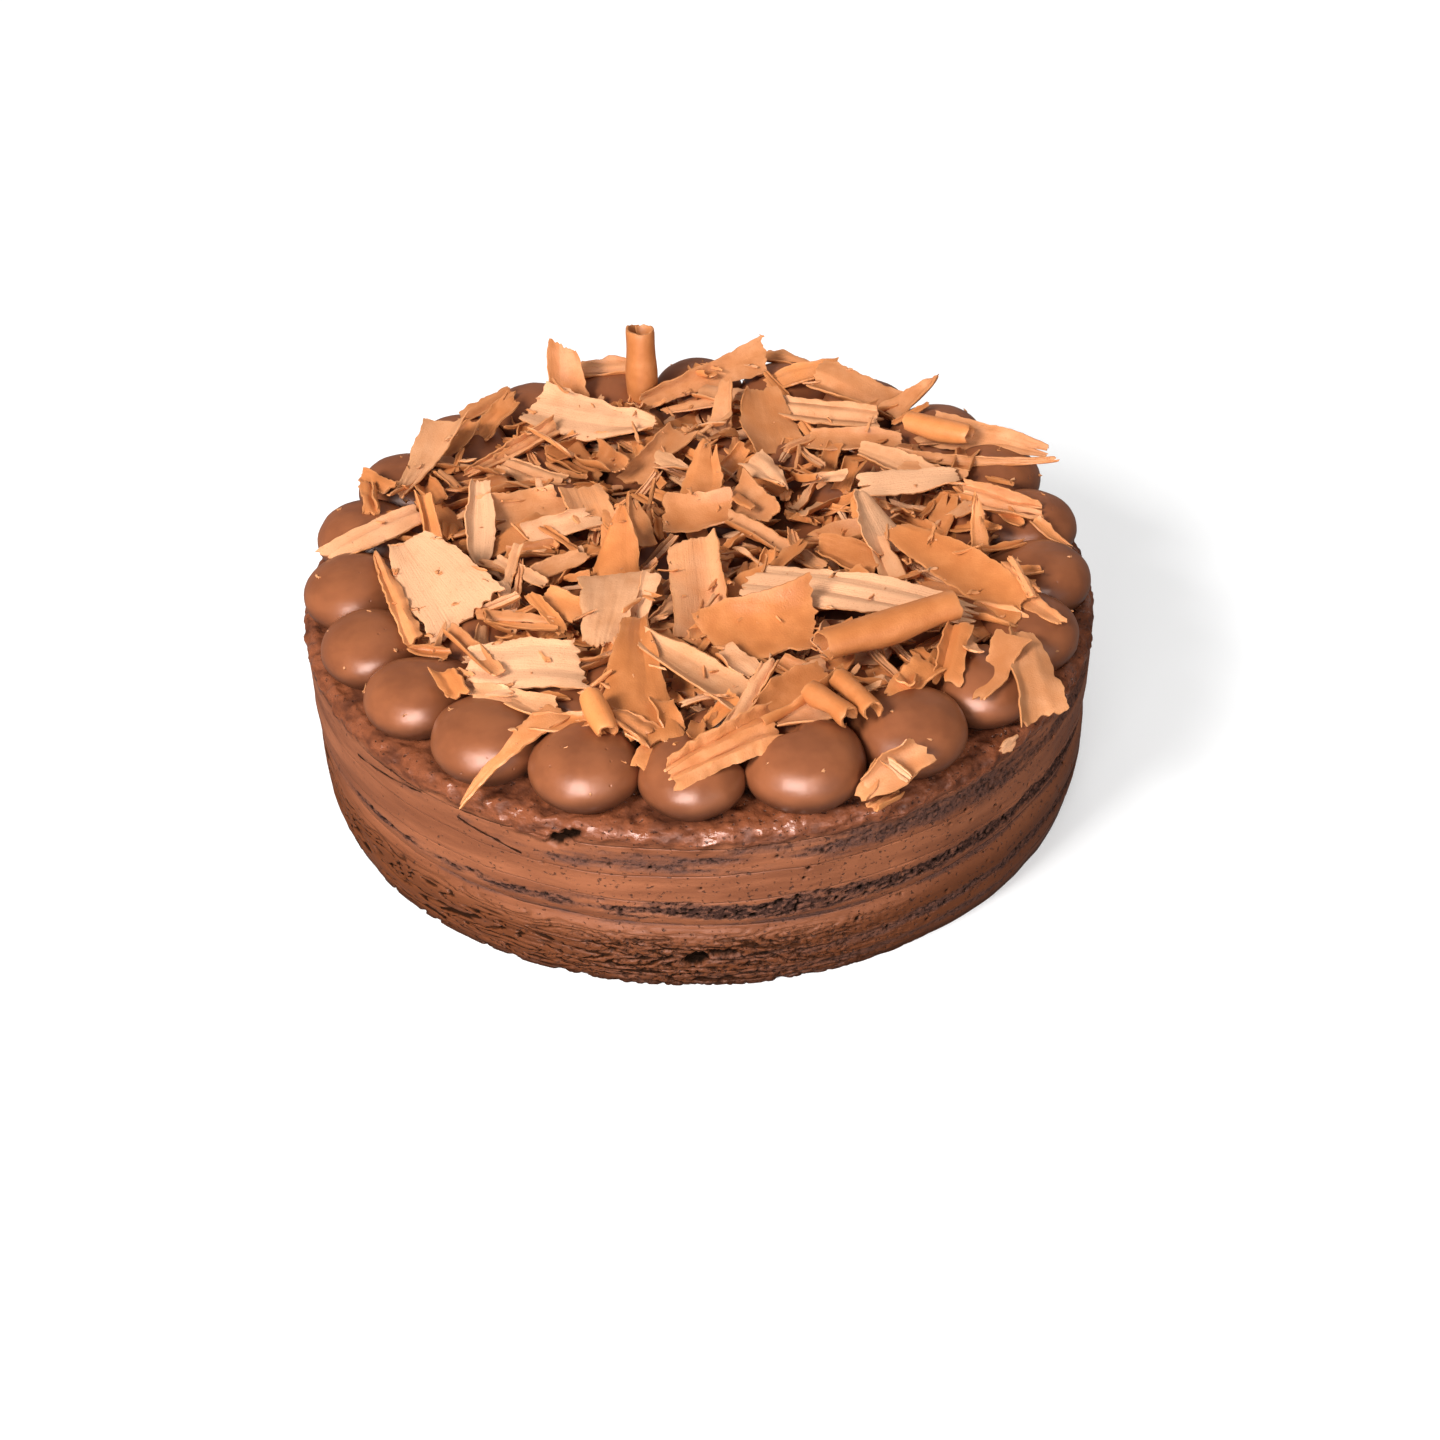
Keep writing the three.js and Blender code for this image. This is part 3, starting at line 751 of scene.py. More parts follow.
# %% The side's finish
def side_finish(name, coat_share):
    finish, tree, shader, place = new_finish(name)
    bare, porous, pit, rim = [attribute(tree, label) for label in ("bare", "porous", "pit", "rim")]
    height = tree.height(place)
    outward = tree.vector("NORMALIZE", tree.off_axis(place))
    streak = tree.grain(place, *COAT_STREAK, detail=3, shift=7)
    crumb = tree.grain(place, *CRUMB, detail=3, shift=2)
    torn = tree.grain(place, *RIM_TEAR, detail=6, shift=9)
    # Painted shade: the low places of the torn rim are darker
    shaded_rim = tree.blend(tree.step(torn, *RIM_HOLLOW_STEP), RIM_HOLLOW_SHADE, RIM_COLOUR)
    fleck = crumb_grain(tree, place)
    smeared = tree.product(bare, tree.math("MULTIPLY_ADD", tree.step(fleck, 0.25, 0.6), 0.6, 0.4))
    flecks = tree.math("MULTIPLY_ADD", tree.math("SUBTRACT", fleck, 0.5), FLECK_CONTRAST, porous)
    flecks = tree.product(tree.step(flecks, *FLECKS_SHOW), tree.step(porous, 0.05, 0.3))
    specks = fine_specks(tree, place, outward)
    line = thin_lines(tree, place, height, outward)
    crack = tree.math("MAXIMUM", wavy_cracks(tree, place, height, outward), line)
    # Painted shade: pits, dug marks, cracks and thin lines are darkened towards near black
    pit = tree.math("MAXIMUM", tree.step(pit, 0.1, 0.8), tree.product(crack, 0.92))
    # Painted contact shadow along the wall's foot
    foot = tree.rest(tree.step(height, *FOOT_SHADE_FADE))
    colour = coat_colour(tree, place, height, streak)
    covers = [
        (tree.product(rim, coat_share), shaded_rim),
        (smeared, SMEARED),
        (tree.product(flecks, 0.85), CRUMB_DARK),
        (tree.product(specks, 0.7), CRUMB_DARK),
        (tree.product(pit, 0.97), PIT_SHADE),
        (tree.product(foot, 0.8), FOOT_SHADE),
    ]
    for share, cover in covers:
        colour = tree.blend(share, colour, cover)
    wet = tree.product(rim, tree.step(torn, *RIM_WET))
    dull = tree.math("MAXIMUM", pit, tree.product(flecks, 0.8))
    relief = tree.total(tree.product(streak, 0.25), tree.product(crumb, tree.total(0.2, bare)),
                        tree.product(rim, torn, 5.0), tree.product(flecks, -1.0), tree.product(crack, -1.5),
                        tree.product(specks, -0.8))
    set_shader(tree, shader, {
        "Base Color": colour,
        "Roughness": tree.total(0.5, tree.product(bare, 0.3), tree.product(wet, -0.28)),
        "Specular IOR Level": tree.product(tree.math("MULTIPLY_ADD", wet, 0.4, 0.15), tree.rest(dull)),
        "Normal": bump(tree, relief, SIDE_BUMP),
    })
    return finish


SIDE_FINISHES = {
    "sponge": side_finish("sponge", 0.9),
    "filling": side_finish("filling", 0.9),
    "icing": side_finish("icing", 0.95),
}
print("side finishes:", ", ".join(SIDE_FINISHES))


# %% [markdown]
# ## The six layers
#
# Now the layers themselves can be turned. Their rings lie less than half a millimetre apart, close enough
# for the pores to be real dents. On the icing they go on over the rounded rim and in to the middle, where
# they may lie further apart, because shavings and dollops cover it. Each layer stands for the solid of the
# same name.

# %% The six layers
ROUND_STEPS = 1200
ROW_HEIGHT = 0.42 * MM
RIM_RINGS = 14
TOP_RINGS = 42
TOP_GATHER = 1.7


def side_rings(bottom, top):
    heights = np.linspace(bottom, top, round((top - bottom) / ROW_HEIGHT) + 1)
    return wall_radius(heights), heights


def icing_rings(bottom):
    """Up the wall, over the rounded rim and in across the top, with rings closer towards the rim"""
    radii, heights = side_rings(bottom, TOP - RIM_ROUND)
    turn = np.linspace(0, math.pi / 2, RIM_RINGS)[1:]
    inward = np.linspace(0, 1, TOP_RINGS)[1:-1] ** TOP_GATHER
    flat = CAKE_RADIUS - RIM_ROUND
    radii = np.concatenate([radii, flat + RIM_ROUND * np.cos(turn), flat * (1 - inward)])
    heights = np.concatenate([heights, TOP - RIM_ROUND * (1 - np.sin(turn)), np.full(len(inward), TOP)])
    return radii, heights


bottom = 0.0
for name, top in LAYER_TOPS.items():
    kind = name.split("_")[0]
    radii, heights = icing_rings(bottom) if kind == "icing" else side_rings(bottom, top)
    points = turned_points(radii, heights, ROUND_STEPS, bottom, top)
    layer = plain_piece(f"{name}_scraped", points.tolist(), turned_faces(len(radii), ROUND_STEPS))
    grow(layer, scraped_side, {**relief_values, "Finish": SIDE_FINISHES[kind]})
    set_down(layer, kind, name)
    bottom = top

# %% [markdown]
# ## The ring of dollops
#
# Each dollop was piped with a plain nozzle: a round head that sags a little, with a tail drawn in towards
# the middle. They could be modelled one by one, but they repeat round a circle, so Geometry Nodes set one
# head on each of a ring of points, turned to face outwards and as wide as its neighbours leave room for. A
# slow wobble then makes no two alike, and a soft fold dents one of them.

# %% Sizes of the dollops
DOLLOP_RING_RADIUS = 90 * MM
FIRST_DOLLOP_ANGLE = math.radians(268.4)
DOLLOP_WIDTHS = np.array([
    0.95, 1.1, 1.06, 0.98, 1.0, 0.98, 0.97, 1.0, 1.02, 0.99, 1.01,
    1.0, 0.98, 1.02, 1.0, 0.99, 1.03, 1.02, 0.97, 0.96, 1.03, 1.01,
])


def dollop_places():
    """Angle and radius of each dollop, side by side round the ring"""
    share = math.pi * DOLLOP_WIDTHS / DOLLOP_WIDTHS.sum()
    angles = FIRST_DOLLOP_ANGLE + np.concatenate([[0], np.cumsum(share[:-1] + share[1:])])
    return angles, DOLLOP_RING_RADIUS * np.sin(share)


angles, dollop_radii = dollop_places()
mean_radius = DOLLOP_RING_RADIUS * math.sin(math.pi / len(DOLLOP_WIDTHS))
print(len(angles), "dollops with a mean radius of", round(mean_radius / MM, 1), "mm")

# %% One head
DOLLOP_HEIGHT = 13 * MM
DOLLOP_TAIL = 7 * MM
# As shares: the height of the widest ring, the width of the foot, and how the tail narrows and sinks
BULGE = 0.38
FOOT = 0.8
TAIL_NARROWS = 0.4
TAIL_SINKS = 0.3
HEAD_AROUND = 72
FOOT_RINGS = 10
DOME_RINGS = 26
DOME_POWER = 0.78


def dollop_head(radius):
    low = np.linspace(0, 1, FOOT_RINGS)
    up = np.linspace(0, math.pi / 2, DOME_RINGS)[1:-1]
    outs = np.concatenate([1 - (1 - FOOT) * (1 - low) ** 2, np.cos(up) ** DOME_POWER])
    heights = np.concatenate([BULGE * low, BULGE + (1 - BULGE) * np.sin(up)])
    points = turned_points(outs * radius, heights * DOLLOP_HEIGHT, HEAD_AROUND, 0.0, 0.0)
    points[-1, 2] = DOLLOP_HEIGHT
    pull = np.clip(-points[:, 0] / radius, 0, 1) ** 2
    points[:, 0] -= DOLLOP_TAIL * pull
    points[:, 1] *= 1 - TAIL_NARROWS * pull
    points[:, 2] *= 1 - TAIL_SINKS * pull
    return plain_piece("dollop_head", points.tolist(), turned_faces(len(outs), HEAD_AROUND))


head = dollop_head(mean_radius)
print("one head:", triangles_of(head), "triangles")

# %% The dollop tree
FOLD_HALF = 5 * MM
WOBBLE = 13 * MM
FINE_WOBBLE = 4 * MM
DOLLOP_INPUTS = {
    "Head": "NodeSocketObject",
    "Wobble": "NodeSocketFloat",
    "Finish": "NodeSocketMaterial",
    "Fold Start": "NodeSocketVector",
    "Fold End": "NodeSocketVector",
    "Fold Depth": "NodeSocketFloat",
}


def named_field(tree, name, kind):
    return tree.add("GeometryNodeInputNamedAttribute", {"Name": name}, "Attribute", data_type=kind)


def dollop_tree():
    tree, given, result = geometry_tree("dollop_ring", DOLLOP_INPUTS)
    head = tree.add("GeometryNodeObjectInfo", {"Object": given["Head"]}, "Geometry")
    points = tree.add("GeometryNodeMeshToPoints", {"Mesh": given["Geometry"]})
    inputs = {"Points": points, "Instance": head, "Rotation": named_field(tree, "turn", "FLOAT_VECTOR"),
              "Scale": named_field(tree, "width", "FLOAT")}
    heads = tree.add("GeometryNodeInstanceOnPoints", inputs)
    ring = tree.add("GeometryNodeRealizeInstances", {"Geometry": heads})
    place = tree.add("GeometryNodeInputPosition")
    fine = tree.product(tree.swing(place, FINE_WOBBLE, FINE_WOBBLE), 0.2)
    wobble = tree.total(tree.swing(place, WOBBLE, WOBBLE), fine)
    off = tree.off_line(place, given["Fold Start"], given["Fold End"])
    fold = tree.product(tree.rest(tree.step(off, 0.0, FOLD_HALF)), given["Fold Depth"], -1.0)
    push = tree.math("MULTIPLY_ADD", given["Wobble"], wobble, fold)
    inputs = {"Geometry": ring, "Offset": tree.scaled(tree.add("GeometryNodeInputNormal"), push)}
    ring = tree.add("GeometryNodeSetPosition", inputs)
    return end_tree(tree, result, ring, given["Finish"])


piped = dollop_tree()
print("dollop tree:", len(piped.nodes), "nodes")

# %% [markdown]
# ## The ganache
#
# Ganache is chocolate melted into cream. It sets with a smooth, satin skin that has a few tiny dents. Its
# colour is painted darker towards the foot of each dollop and in the valleys of the bed, as painted shade
# where little light comes in. Its colours, its roughness and its dents are all read from the place in space,
# so no picture has to be wrapped round the ring.

# %% The ganache finish
GANACHE = (0.225, 0.071, 0.027, 1)
GANACHE_DEEP = (0.18, 0.055, 0.021, 1)
# Painted shade near the foot of each dollop and in the bed's valleys
GANACHE_FOOT_SHADE = (0.06, 0.019, 0.009, 1)
GANACHE_FOOT_SHADE_FADE = (TOP + 2.0 * MM, TOP + 7.5 * MM)
CLOUD = (9 * MM, 6 * MM)
SKIN = 1.6 * MM
DENT_SPACING = 5 * MM
GANACHE_BUMP = 0.15 * MM
GANACHE_SHINE = 0.36


def ganache_finish():
    finish, tree, shader, place = new_finish("ganache")
    cloud = tree.grain(place, *CLOUD, detail=3)
    colour = tree.blend(tree.step(cloud, 0.35, 0.65), GANACHE_DEEP, GANACHE)
    # Painted shade: darker towards the foot of the dollops and in the bed's valleys
    foot = tree.rest(tree.step(tree.height(place), *GANACHE_FOOT_SHADE_FADE))
    skin = tree.grain(place, SKIN, SKIN, detail=3, shift=4)
    off = tree.add("ShaderNodeTexVoronoi", {"Vector": place, "Scale": 1 / DENT_SPACING}, "Distance")
    relief = tree.total(tree.step(off, 0.0, 0.09), tree.product(skin, 0.3))
    set_shader(tree, shader, {
        "Base Color": tree.blend(tree.product(foot, 0.9), colour, GANACHE_FOOT_SHADE),
        "Roughness": tree.total(0.27, tree.product(cloud, 0.1), tree.product(skin, 0.06)),
        "Normal": bump(tree, relief, GANACHE_BUMP),
        "Specular IOR Level": GANACHE_SHINE,
    })
    return finish


ganache = ganache_finish()
print("ganache finish:", len(ganache.node_tree.nodes), "nodes")

# %% Pipe the ring
DOLLOP_WOBBLE = 0.55 * MM
DOLLOP_SQUEEZE = 1.05
FOLDED_DOLLOP = 1
FOLD_DEPTH = 4.5 * MM
# Ends of the fold from the dollop's middle, in millimetres: outwards, along the ring and up
FOLD_ENDS = {"Fold Start": (-4, -14, 9), "Fold End": (-5, -2.5, 13)}

zeros = np.zeros(len(angles))
centres = np.column_stack([np.cos(angles), np.sin(angles), zeros]) * DOLLOP_RING_RADIUS
centres[:, 2] = TOP
ring = plain_piece("dollop_ring", centres.tolist(), [])
ring.data.attributes.new("turn", "FLOAT_VECTOR", "POINT")
ring.data.attributes.new("width", "FLOAT", "POINT")
turns = np.column_stack([zeros, zeros, angles])
ring.data.attributes["turn"].data.foreach_set("vector", turns.ravel())
ring.data.attributes["width"].data.foreach_set("value", DOLLOP_SQUEEZE * dollop_radii / mean_radius)

fold_out = np.array([math.cos(angles[FOLDED_DOLLOP]), math.sin(angles[FOLDED_DOLLOP]), 0])
fold_aside = np.array([-fold_out[1], fold_out[0], 0])
folded = {"Fold Depth": FOLD_DEPTH}
for label, (out, aside, up) in FOLD_ENDS.items():
    reach = (out * fold_out + aside * fold_aside) * MM + (0, 0, up * MM)
    folded[label] = (centres[FOLDED_DOLLOP] + reach).tolist()
grow(ring, piped, {"Head": head, "Wobble": DOLLOP_WOBBLE, "Finish": ganache, **folded})
bpy.data.objects.remove(head)
ring.data.shade_smooth()
set_down(ring, "ganache", *[n for n in frame["nodes"] if n.startswith("dollop")])

# %% [markdown]
# ## The bed under the shavings
#
# Between the shavings there are glimpses of more ganache. More dollops could be set there, but only a little
# of them would show. A bed of soft mounds as wide as the dollops is enough, which a Voronoi texture gives:
# the distance to the nearest of a set of scattered points, turned into a dome over each.

# %% The bed of ganache
BED_RADIUS = 79 * MM
BED_HEIGHT = 11.5 * MM
BED_SKIN = 1.2 * MM
BED_STEPS = 60
BED_AROUND = 240
BED_FADE = (TOP + 0.4 * MM, TOP + 1.0 * MM)
MOUND = 23 * MM
BED_INPUTS = {"Mound": "NodeSocketFloat", "Height": "NodeSocketFloat", "Finish": "NodeSocketMaterial"}


def bed_tree():
    tree, given, result = geometry_tree("ganache_bed", BED_INPUTS)
    place = tree.add("GeometryNodeInputPosition")
    inputs = {"Vector": tree.off_axis(place), "Scale": tree.math("DIVIDE", 1.0, given["Mound"]),
              "Randomness": 0.6}
    off = tree.add("ShaderNodeTexVoronoi", inputs, "Distance")
    dome = tree.math("MAXIMUM", tree.rest(tree.product(off, off, 1.8)), 0.0)
    rise = tree.product(given["Height"], tree.math("MULTIPLY_ADD", dome, 0.85, 0.15))
    above = tree.step(tree.height(place), *BED_FADE)
    lift = tree.add("ShaderNodeCombineXYZ", {"Z": tree.product(rise, above)})
    bed = tree.add("GeometryNodeSetPosition", {"Geometry": given["Geometry"], "Offset": lift})
    return end_tree(tree, result, bed, given["Finish"])


steps = np.linspace(0, 1, BED_STEPS)[1:]
bed_radii = np.concatenate([[BED_RADIUS], (BED_RADIUS * (1 - steps))[:-1]])
bed_heights = np.concatenate([[TOP], np.full(len(steps) - 1, TOP + BED_SKIN)])
bed_points = turned_points(bed_radii, bed_heights, BED_AROUND, 0.0, 0.0)
bed = plain_piece("ganache_bed", bed_points.tolist(), turned_faces(len(bed_radii), BED_AROUND))
grow(bed, bed_tree(), {"Mound": MOUND, "Height": BED_HEIGHT, "Finish": ganache})
bed.data.shade_smooth()
set_down(bed, "ganache")

# %% [markdown]
# ## The shavings
#
# A shaving is a strip that a blade has peeled from a block: thin, ridged along its length, torn at its ends,
# curled across and bowed along. All of them could be scattered at random, but the large ones are what this
# cake is known by, so each one that stands out has a row in the table below. The first rows are those of the
# solid, fitted a few millimetres and degrees closer, and further small ones follow. A second table says what
# single ones have beyond that, such as a torn end or a fold.

# %% The shavings that stand out
# One a row, in millimetres and degrees: middle (x, y, height over the top), turn (heading, rise, lean),
# size (length, width), end widths as shares, bends (curl across, bow along), and how pale its upper face is
SHAVINGS = [
    [(-15, 85, 18), (90, 84, 0), (25, 24), (0.95, 1), (320, 0), 0.3],
    [(-37, 80, 15), (95, 60, -10), (22, 15), (1, 0.5), (50, 20), 0.3],
    [(-29, 59, 14.5), (-21, 0, 14), (38, 23), (0.65, 0.15), (35, 15), 0.95],
    [(3, 81, 14.5), (23, 9, 28), (40, 11), (0.3, 0.95), (30, 10), 0.35],
    [(7, 69.5, 13.5), (8, 4, 15), (31, 7), (0.6, 0.7), (50, -10), 0.4],
    [(47, 70, 14.5), (-20, -18, 30), (28, 19), (0.6, 0.7), (120, -30), 0.4],
    [(63, 68, 14), (30, 24, 20), (18, 9), (1, 0.1), (60, 20), 0.4],
    [(68, 45.5, 13), (-29, 1, 0), (19, 16), (0.9, 0.8), (300, 0), 0.25],
    [(82, 44, 14), (-25, 0, 20), (34, 14), (0.7, 0.15), (60, -15), 0.45],
    [(77, 33, 13.5), (-8, 0, 15), (43, 8), (0.4, 0.1), (60, 15), 0.4],
    [(56, 32, 13), (-38, 0, 20), (26, 11), (0.5, 0.4), (20, 10), 0.8],
    [(57, 20, 15.5), (10, 0, 16), (27, 13), (0.6, 0.5), (15, -10), 1.0],
    [(81.5, 10.5, 12.5), (-20, -3, 20), (22, 13), (0.8, 0.5), (90, 25), 0.45],
    [(73, -6, 15.5), (92, 48, 0), (18, 7), (0.8, 0.2), (40, 10), 0.25],
    [(66, -23, 15.5), (-45, -6, 20), (43, 16), (0.3, 0.8), (40, 15), 0.08],
    [(79.5, -63, 12.8), (-87, -10, -14), (29, 15), (0.4, 1), (45, -30), 0.5],
    [(71.5, -62, 13), (-119, -14, 10), (21, 11), (0.9, 0.35), (50, 10), 0.35],
    [(46.5, -50.5, 13), (23, 2, 0), (36, 25), (0.95, 0.9), (320, 0), 0.2],
    [(40, -34.5, 16.5), (-16, -2, 12), (54, 19), (0.75, 0.3), (15, -8), 1.0],
    [(15.5, -45.5, 14.5), (15, 3, 18), (27, 22), (0.6, 0.95), (40, 15), 0.08],
    [(1, -25, 13.5), (95, 18, 10), (32, 21), (0.9, 0.5), (135, 0), 0.5],
    [(-21, -14, 16), (80, 36, -6), (28, 21), (0.95, 0.08), (-70, 15), 0.05],
    [(-23, -35, 15.5), (84, 2, 4), (28, 17), (0.45, 0.95), (25, -12), 0.75],
    [(-15.5, -61.5, 15), (90, 4, 0), (43, 25), (1, 0.28), (-40, -14), 0.08],
    [(-1, -62, 13.8), (-42, -6, -6), (35, 16), (0.35, 0.85), (125, 0), 0.75],
    [(5, -91, 14.5), (33, 2, 15), (29, 13), (0.45, 0.9), (40, -15), 0.3],
    [(12, -74, 15.5), (64, 10, 0), (24, 6), (0.8, 0.6), (60, 10), 0.6],
    [(-45, -85, 10.5), (-140, -22, -15), (34, 10), (0.7, 0.08), (40, -60), 0.3],
    [(-67, -21, 16), (-60, -5, 14), (36, 24), (0.45, 1), (30, -12), 1.0],
    [(-42, -59, 15.5), (-2, -3, 14), (27, 17), (0.75, 0.95), (25, -15), 1.0],
    [(29.5, -79, 14.5), (-45, -6, 0), (13, 12), (0.9, 0.8), (280, 0), 0.2],
    [(36, -76, 14.5), (-58, -5, 0), (14, 12), (0.9, 0.8), (280, 0), 0.2],
    [(22.5, -73, 13.5), (42, 2, 0), (24, 15), (0.9, 0.8), (190, 0), 0.15],
    [(-75, 37, 15.5), (68, 12, 8), (31, 15), (0.25, 0.9), (60, 20), 0.75],
    [(-85, 5, 13.5), (-146, -6, 8), (27, 11), (0.7, 0.95), (30, -20), 0.65],
    [(-57.5, 4, 15.5), (92, 18, 0), (30, 9), (0.2, 0.5), (60, 0), 1.0],
    [(-45, 12, 13), (20, 0, 25), (21, 18), (0.8, 0.7), (30, 20), 0.4],
    [(-28.5, 11, 15), (108, 6, 0), (19, 16), (0.7, 0.7), (40, 0), 0.4],
    [(-25, 36, 13), (-60, 20, 0), (20, 17), (0.9, 0.5), (130, 0), 0.2],
    [(-11, 39.5, 13.5), (52, 10, 0), (24, 11), (0.6, 0.9), (110, 0), 0.4],
    [(-36, 3, 15), (20, 5, 20), (19, 9), (0.8, 0.7), (90, 0), 0.9],
    [(0, 10, 13), (10, 0, 25), (18, 15), (0.8, 0.7), (30, 20), 0.3],
    [(2, 22, 16), (80, 28, 0), (24, 14), (0.9, 0.3), (50, 15), 0.2],
    [(8, 58, 15), (80, 40, 0), (22, 8), (0.8, 0.5), (60, 0), 0.5],
    [(21, 56, 14), (100, 18, 10), (24, 19), (0.9, 0.6), (50, 10), 0.3],
    [(32, 61.5, 14), (-18, 0, 20), (42, 14), (0.35, 0.6), (15, 8), 0.65],
    [(45, 47, 12), (-10, 0, 15), (26, 11), (0.8, 0.7), (40, 0), 0.4],
    [(47, -1.5, 17), (-69, -17, -14), (22, 17), (0.35, 0.95), (-30, 0), 0.85],
    [(39, -11, 12.5), (-35, 0, 20), (17, 12), (0.5, 0.9), (40, 10), 0.15],
    [(20, -4, 12), (-40, -5, 0), (31, 9), (0.8, 0.5), (110, 0), 0.6],
    [(-51, 45, 13), (40, 6, 10), (31, 8), (0.4, 0.8), (60, 0), 0.4],
    [(-57, 62, 14.5), (55, 18, 0), (17, 8.5), (0.9, 0.6), (120, 0), 0.2],
    [(-46, 35, 12), (-35, 0, 20), (22, 10), (0.5, 0.6), (20, 10), 0.7],
    [(-60, 27, 9.5), (20, 5, 0), (20, 15), (0.8, 0.7), (150, 0), 0.3],
    [(-85, 28, 13), (170, -3, 10), (15, 7), (0.9, 0.5), (80, -15), 0.35],
    [(43.5, -93.5, 9), (25, 22, 40), (16, 10), (0.5, 1), (140, 0), 0.45],
    [(-77.5, -25.5, 15), (-70, -4, 10), (38, 6), (0.15, 0.8), (60, -20), 0.3],
    [(-59.6, -64, 14.5), (-60, -10, 10), (9, 7), (0.8, 0.9), (90, -10), 0.05],
    [(-55, -54, 16), (-55, 2, 0), (24, 8), (0.8, 0.6), (170, 0), 0.35],
    [(-44, -69.5, 13), (-19, 0, 15), (21, 7), (0.6, 0.8), (25, 10), 0.7],
    [(-46, -36.5, 14), (-12, 0, 10), (21, 4), (0.8, 0.5), (60, 0), 0.35],
    [(-44, -39.5, 13), (-17, 2, 0), (19, 3.5), (0.5, 0.8), (70, 10), 0.2],
    [(-71, 8, 14), (-73, -30, 0), (17, 7.5), (0.9, 0.6), (140, 0), 0.15],
    [(-87, 27, 15), (-47, 3, 20), (13, 6), (0.7, 0.9), (100, 10), 0.2],
    [(-88, 20, 14.5), (100, 5, -10), (14, 7), (0.8, 0.6), (120, 0), 0.2],
    [(-45, -18, 14.5), (-42, 0, 10), (18, 4.5), (0.6, 0.8), (50, 10), 0.8],
    [(-49, -14, 13), (-25, 0, 0), (17, 4), (0.8, 0.5), (80, 0), 0.5],
    [(60.5, -58, 14.5), (-107, -17, 10), (18, 7.5), (0.9, 0.8), (60, 0), 0.15],
    [(50, -67, 13.5), (49, 0, 15), (17, 9), (0.5, 0.9), (90, 0), 0.15],
    [(24, -62.5, 12), (29, 0, 10), (17, 6.5), (0.9, 0.8), (90, 0), 0.55],
    [(8.7, -59, 14), (-53, 0, 0), (12, 9), (0.8, 0.7), (130, 0), 0.7],
    [(-7, -44, 11), (-51, 0, 0), (17, 4), (0.8, 0.6), (90, 0), 0.2],
    [(-4, -41, 10.5), (-40, 0, 10), (14, 3), (0.7, 0.7), (70, 0), 0.3],
    [(84, -37.5, 13.5), (-49, -6, 10), (15, 8), (0.7, 0.5), (120, 0), 0.35],
    [(38.6, -95, 6.5), (57, 20, 10), (10, 5), (0.5, 0.9), (90, 0), 0.3],
    [(44.5, -97, 10.8), (-43, -11, 20), (7, 4), (0.8, 0.5), (110, 0), 0.8],
    [(42, -97, 2), (38, 0, 0), (9, 4.5), (0.9, 0.4), (50, 0), 0.25],
    [(-60, 69.6, 14), (43, 6, 15), (20, 7), (0.7, 0.5), (60, 10), 0.3],
    [(-72, 24, 13), (-69, 10, 0), (15, 10), (0.8, 0.8), (160, 0), 0.15],
    [(19.8, 27.6, 14.5), (-59, 0, 15), (17, 10), (0.9, 0.1), (30, 10), 0.8],
    [(10.3, 14.4, 15.5), (-57, 5, 0), (16, 4), (0.7, 0.7), (60, 0), 0.15],
    [(15.2, 14.1, 13.5), (-62, 0, 20), (18, 12), (0.8, 0.7), (40, 10), 0.45],
    [(93, -0.5, 10.5), (-31, -26, 10), (12, 5), (0.8, 0.3), (90, 20), 0.3],
    [(-27, 90, 13.5), (5, 0, 20), (18, 9), (0.7, 0.8), (70, -10), 0.5],
    [(10.3, 71.6, 14), (-18, 3, 10), (19, 9), (0.8, 0.6), (60, 0), 0.6],
    [(64, 27, 13.5), (-21, 0, 15), (18, 7), (0.6, 0.8), (60, 0), 0.5],
    [(80.5, -30, 17.3), (-51, -8, 10), (13, 3.5), (0.7, 0.4), (60, 0), 0.35],
    [(80.7, -30.5, 18), (-74, -13, 0), (14, 2.5), (0.5, 0.8), (70, 0), 0.4],
    [(73.3, -73.6, -1), (45, 0, 50), (6.5, 3.5), (0.6, 0.5), (90, 0), 0.8],
    [(-48.2, -20.5, 15), (81, 10, 0), (23, 3.5), (0.5, 0.8), (60, 10), 0.6],
    [(-46, -22, 14), (88, 6, 10), (18, 3), (0.7, 0.6), (50, 0), 0.5],
    [(-36.5, -14, 13.5), (26, 8, 10), (16, 8), (0.8, 0.6), (40, 0), 0.5],
    [(-38, -36, 14.5), (-56, -13, 0), (15, 5), (0.7, 0.6), (70, 0), 0.1],
    [(-33.8, -31.5, 13.5), (-38, 0, 15), (13, 9), (0.7, 0.9), (60, 10), 0.2],
    [(-24.5, -78.5, 13.5), (-64, -23, 0), (11, 13), (0.9, 0.95), (280, 0), 0.15],
    [(-7.6, -77.5, 12.5), (-69, -24, 0), (11, 8), (0.8, 0.7), (60, -20), 0.1],
    [(-16.5, -81, 13.8), (-28, -16, 0), (13, 8), (0.8, 0.9), (50, -20), 0.25],
    [(31.4, 80.8, 15), (6, 9, 10), (20, 9), (0.6, 0.9), (60, -30), 0.2],
    [(28, 95, 12.5), (-18, -5, 5), (15, 8), (0.7, 0.5), (60, -10), 0.3],
    [(-7, 33.3, 15), (-26, -6, 10), (10, 8), (0.9, 0.2), (30, 0), 0.9],
    [(12, 88, 13.5), (-10, 4, 10), (17, 6), (0.5, 0.7), (70, 0), 0.25],
]
# The row from which the further small ones begin
FURTHER = 56
print("large shavings:", FURTHER, "and further ones:", len(SHAVINGS) - FURTHER)

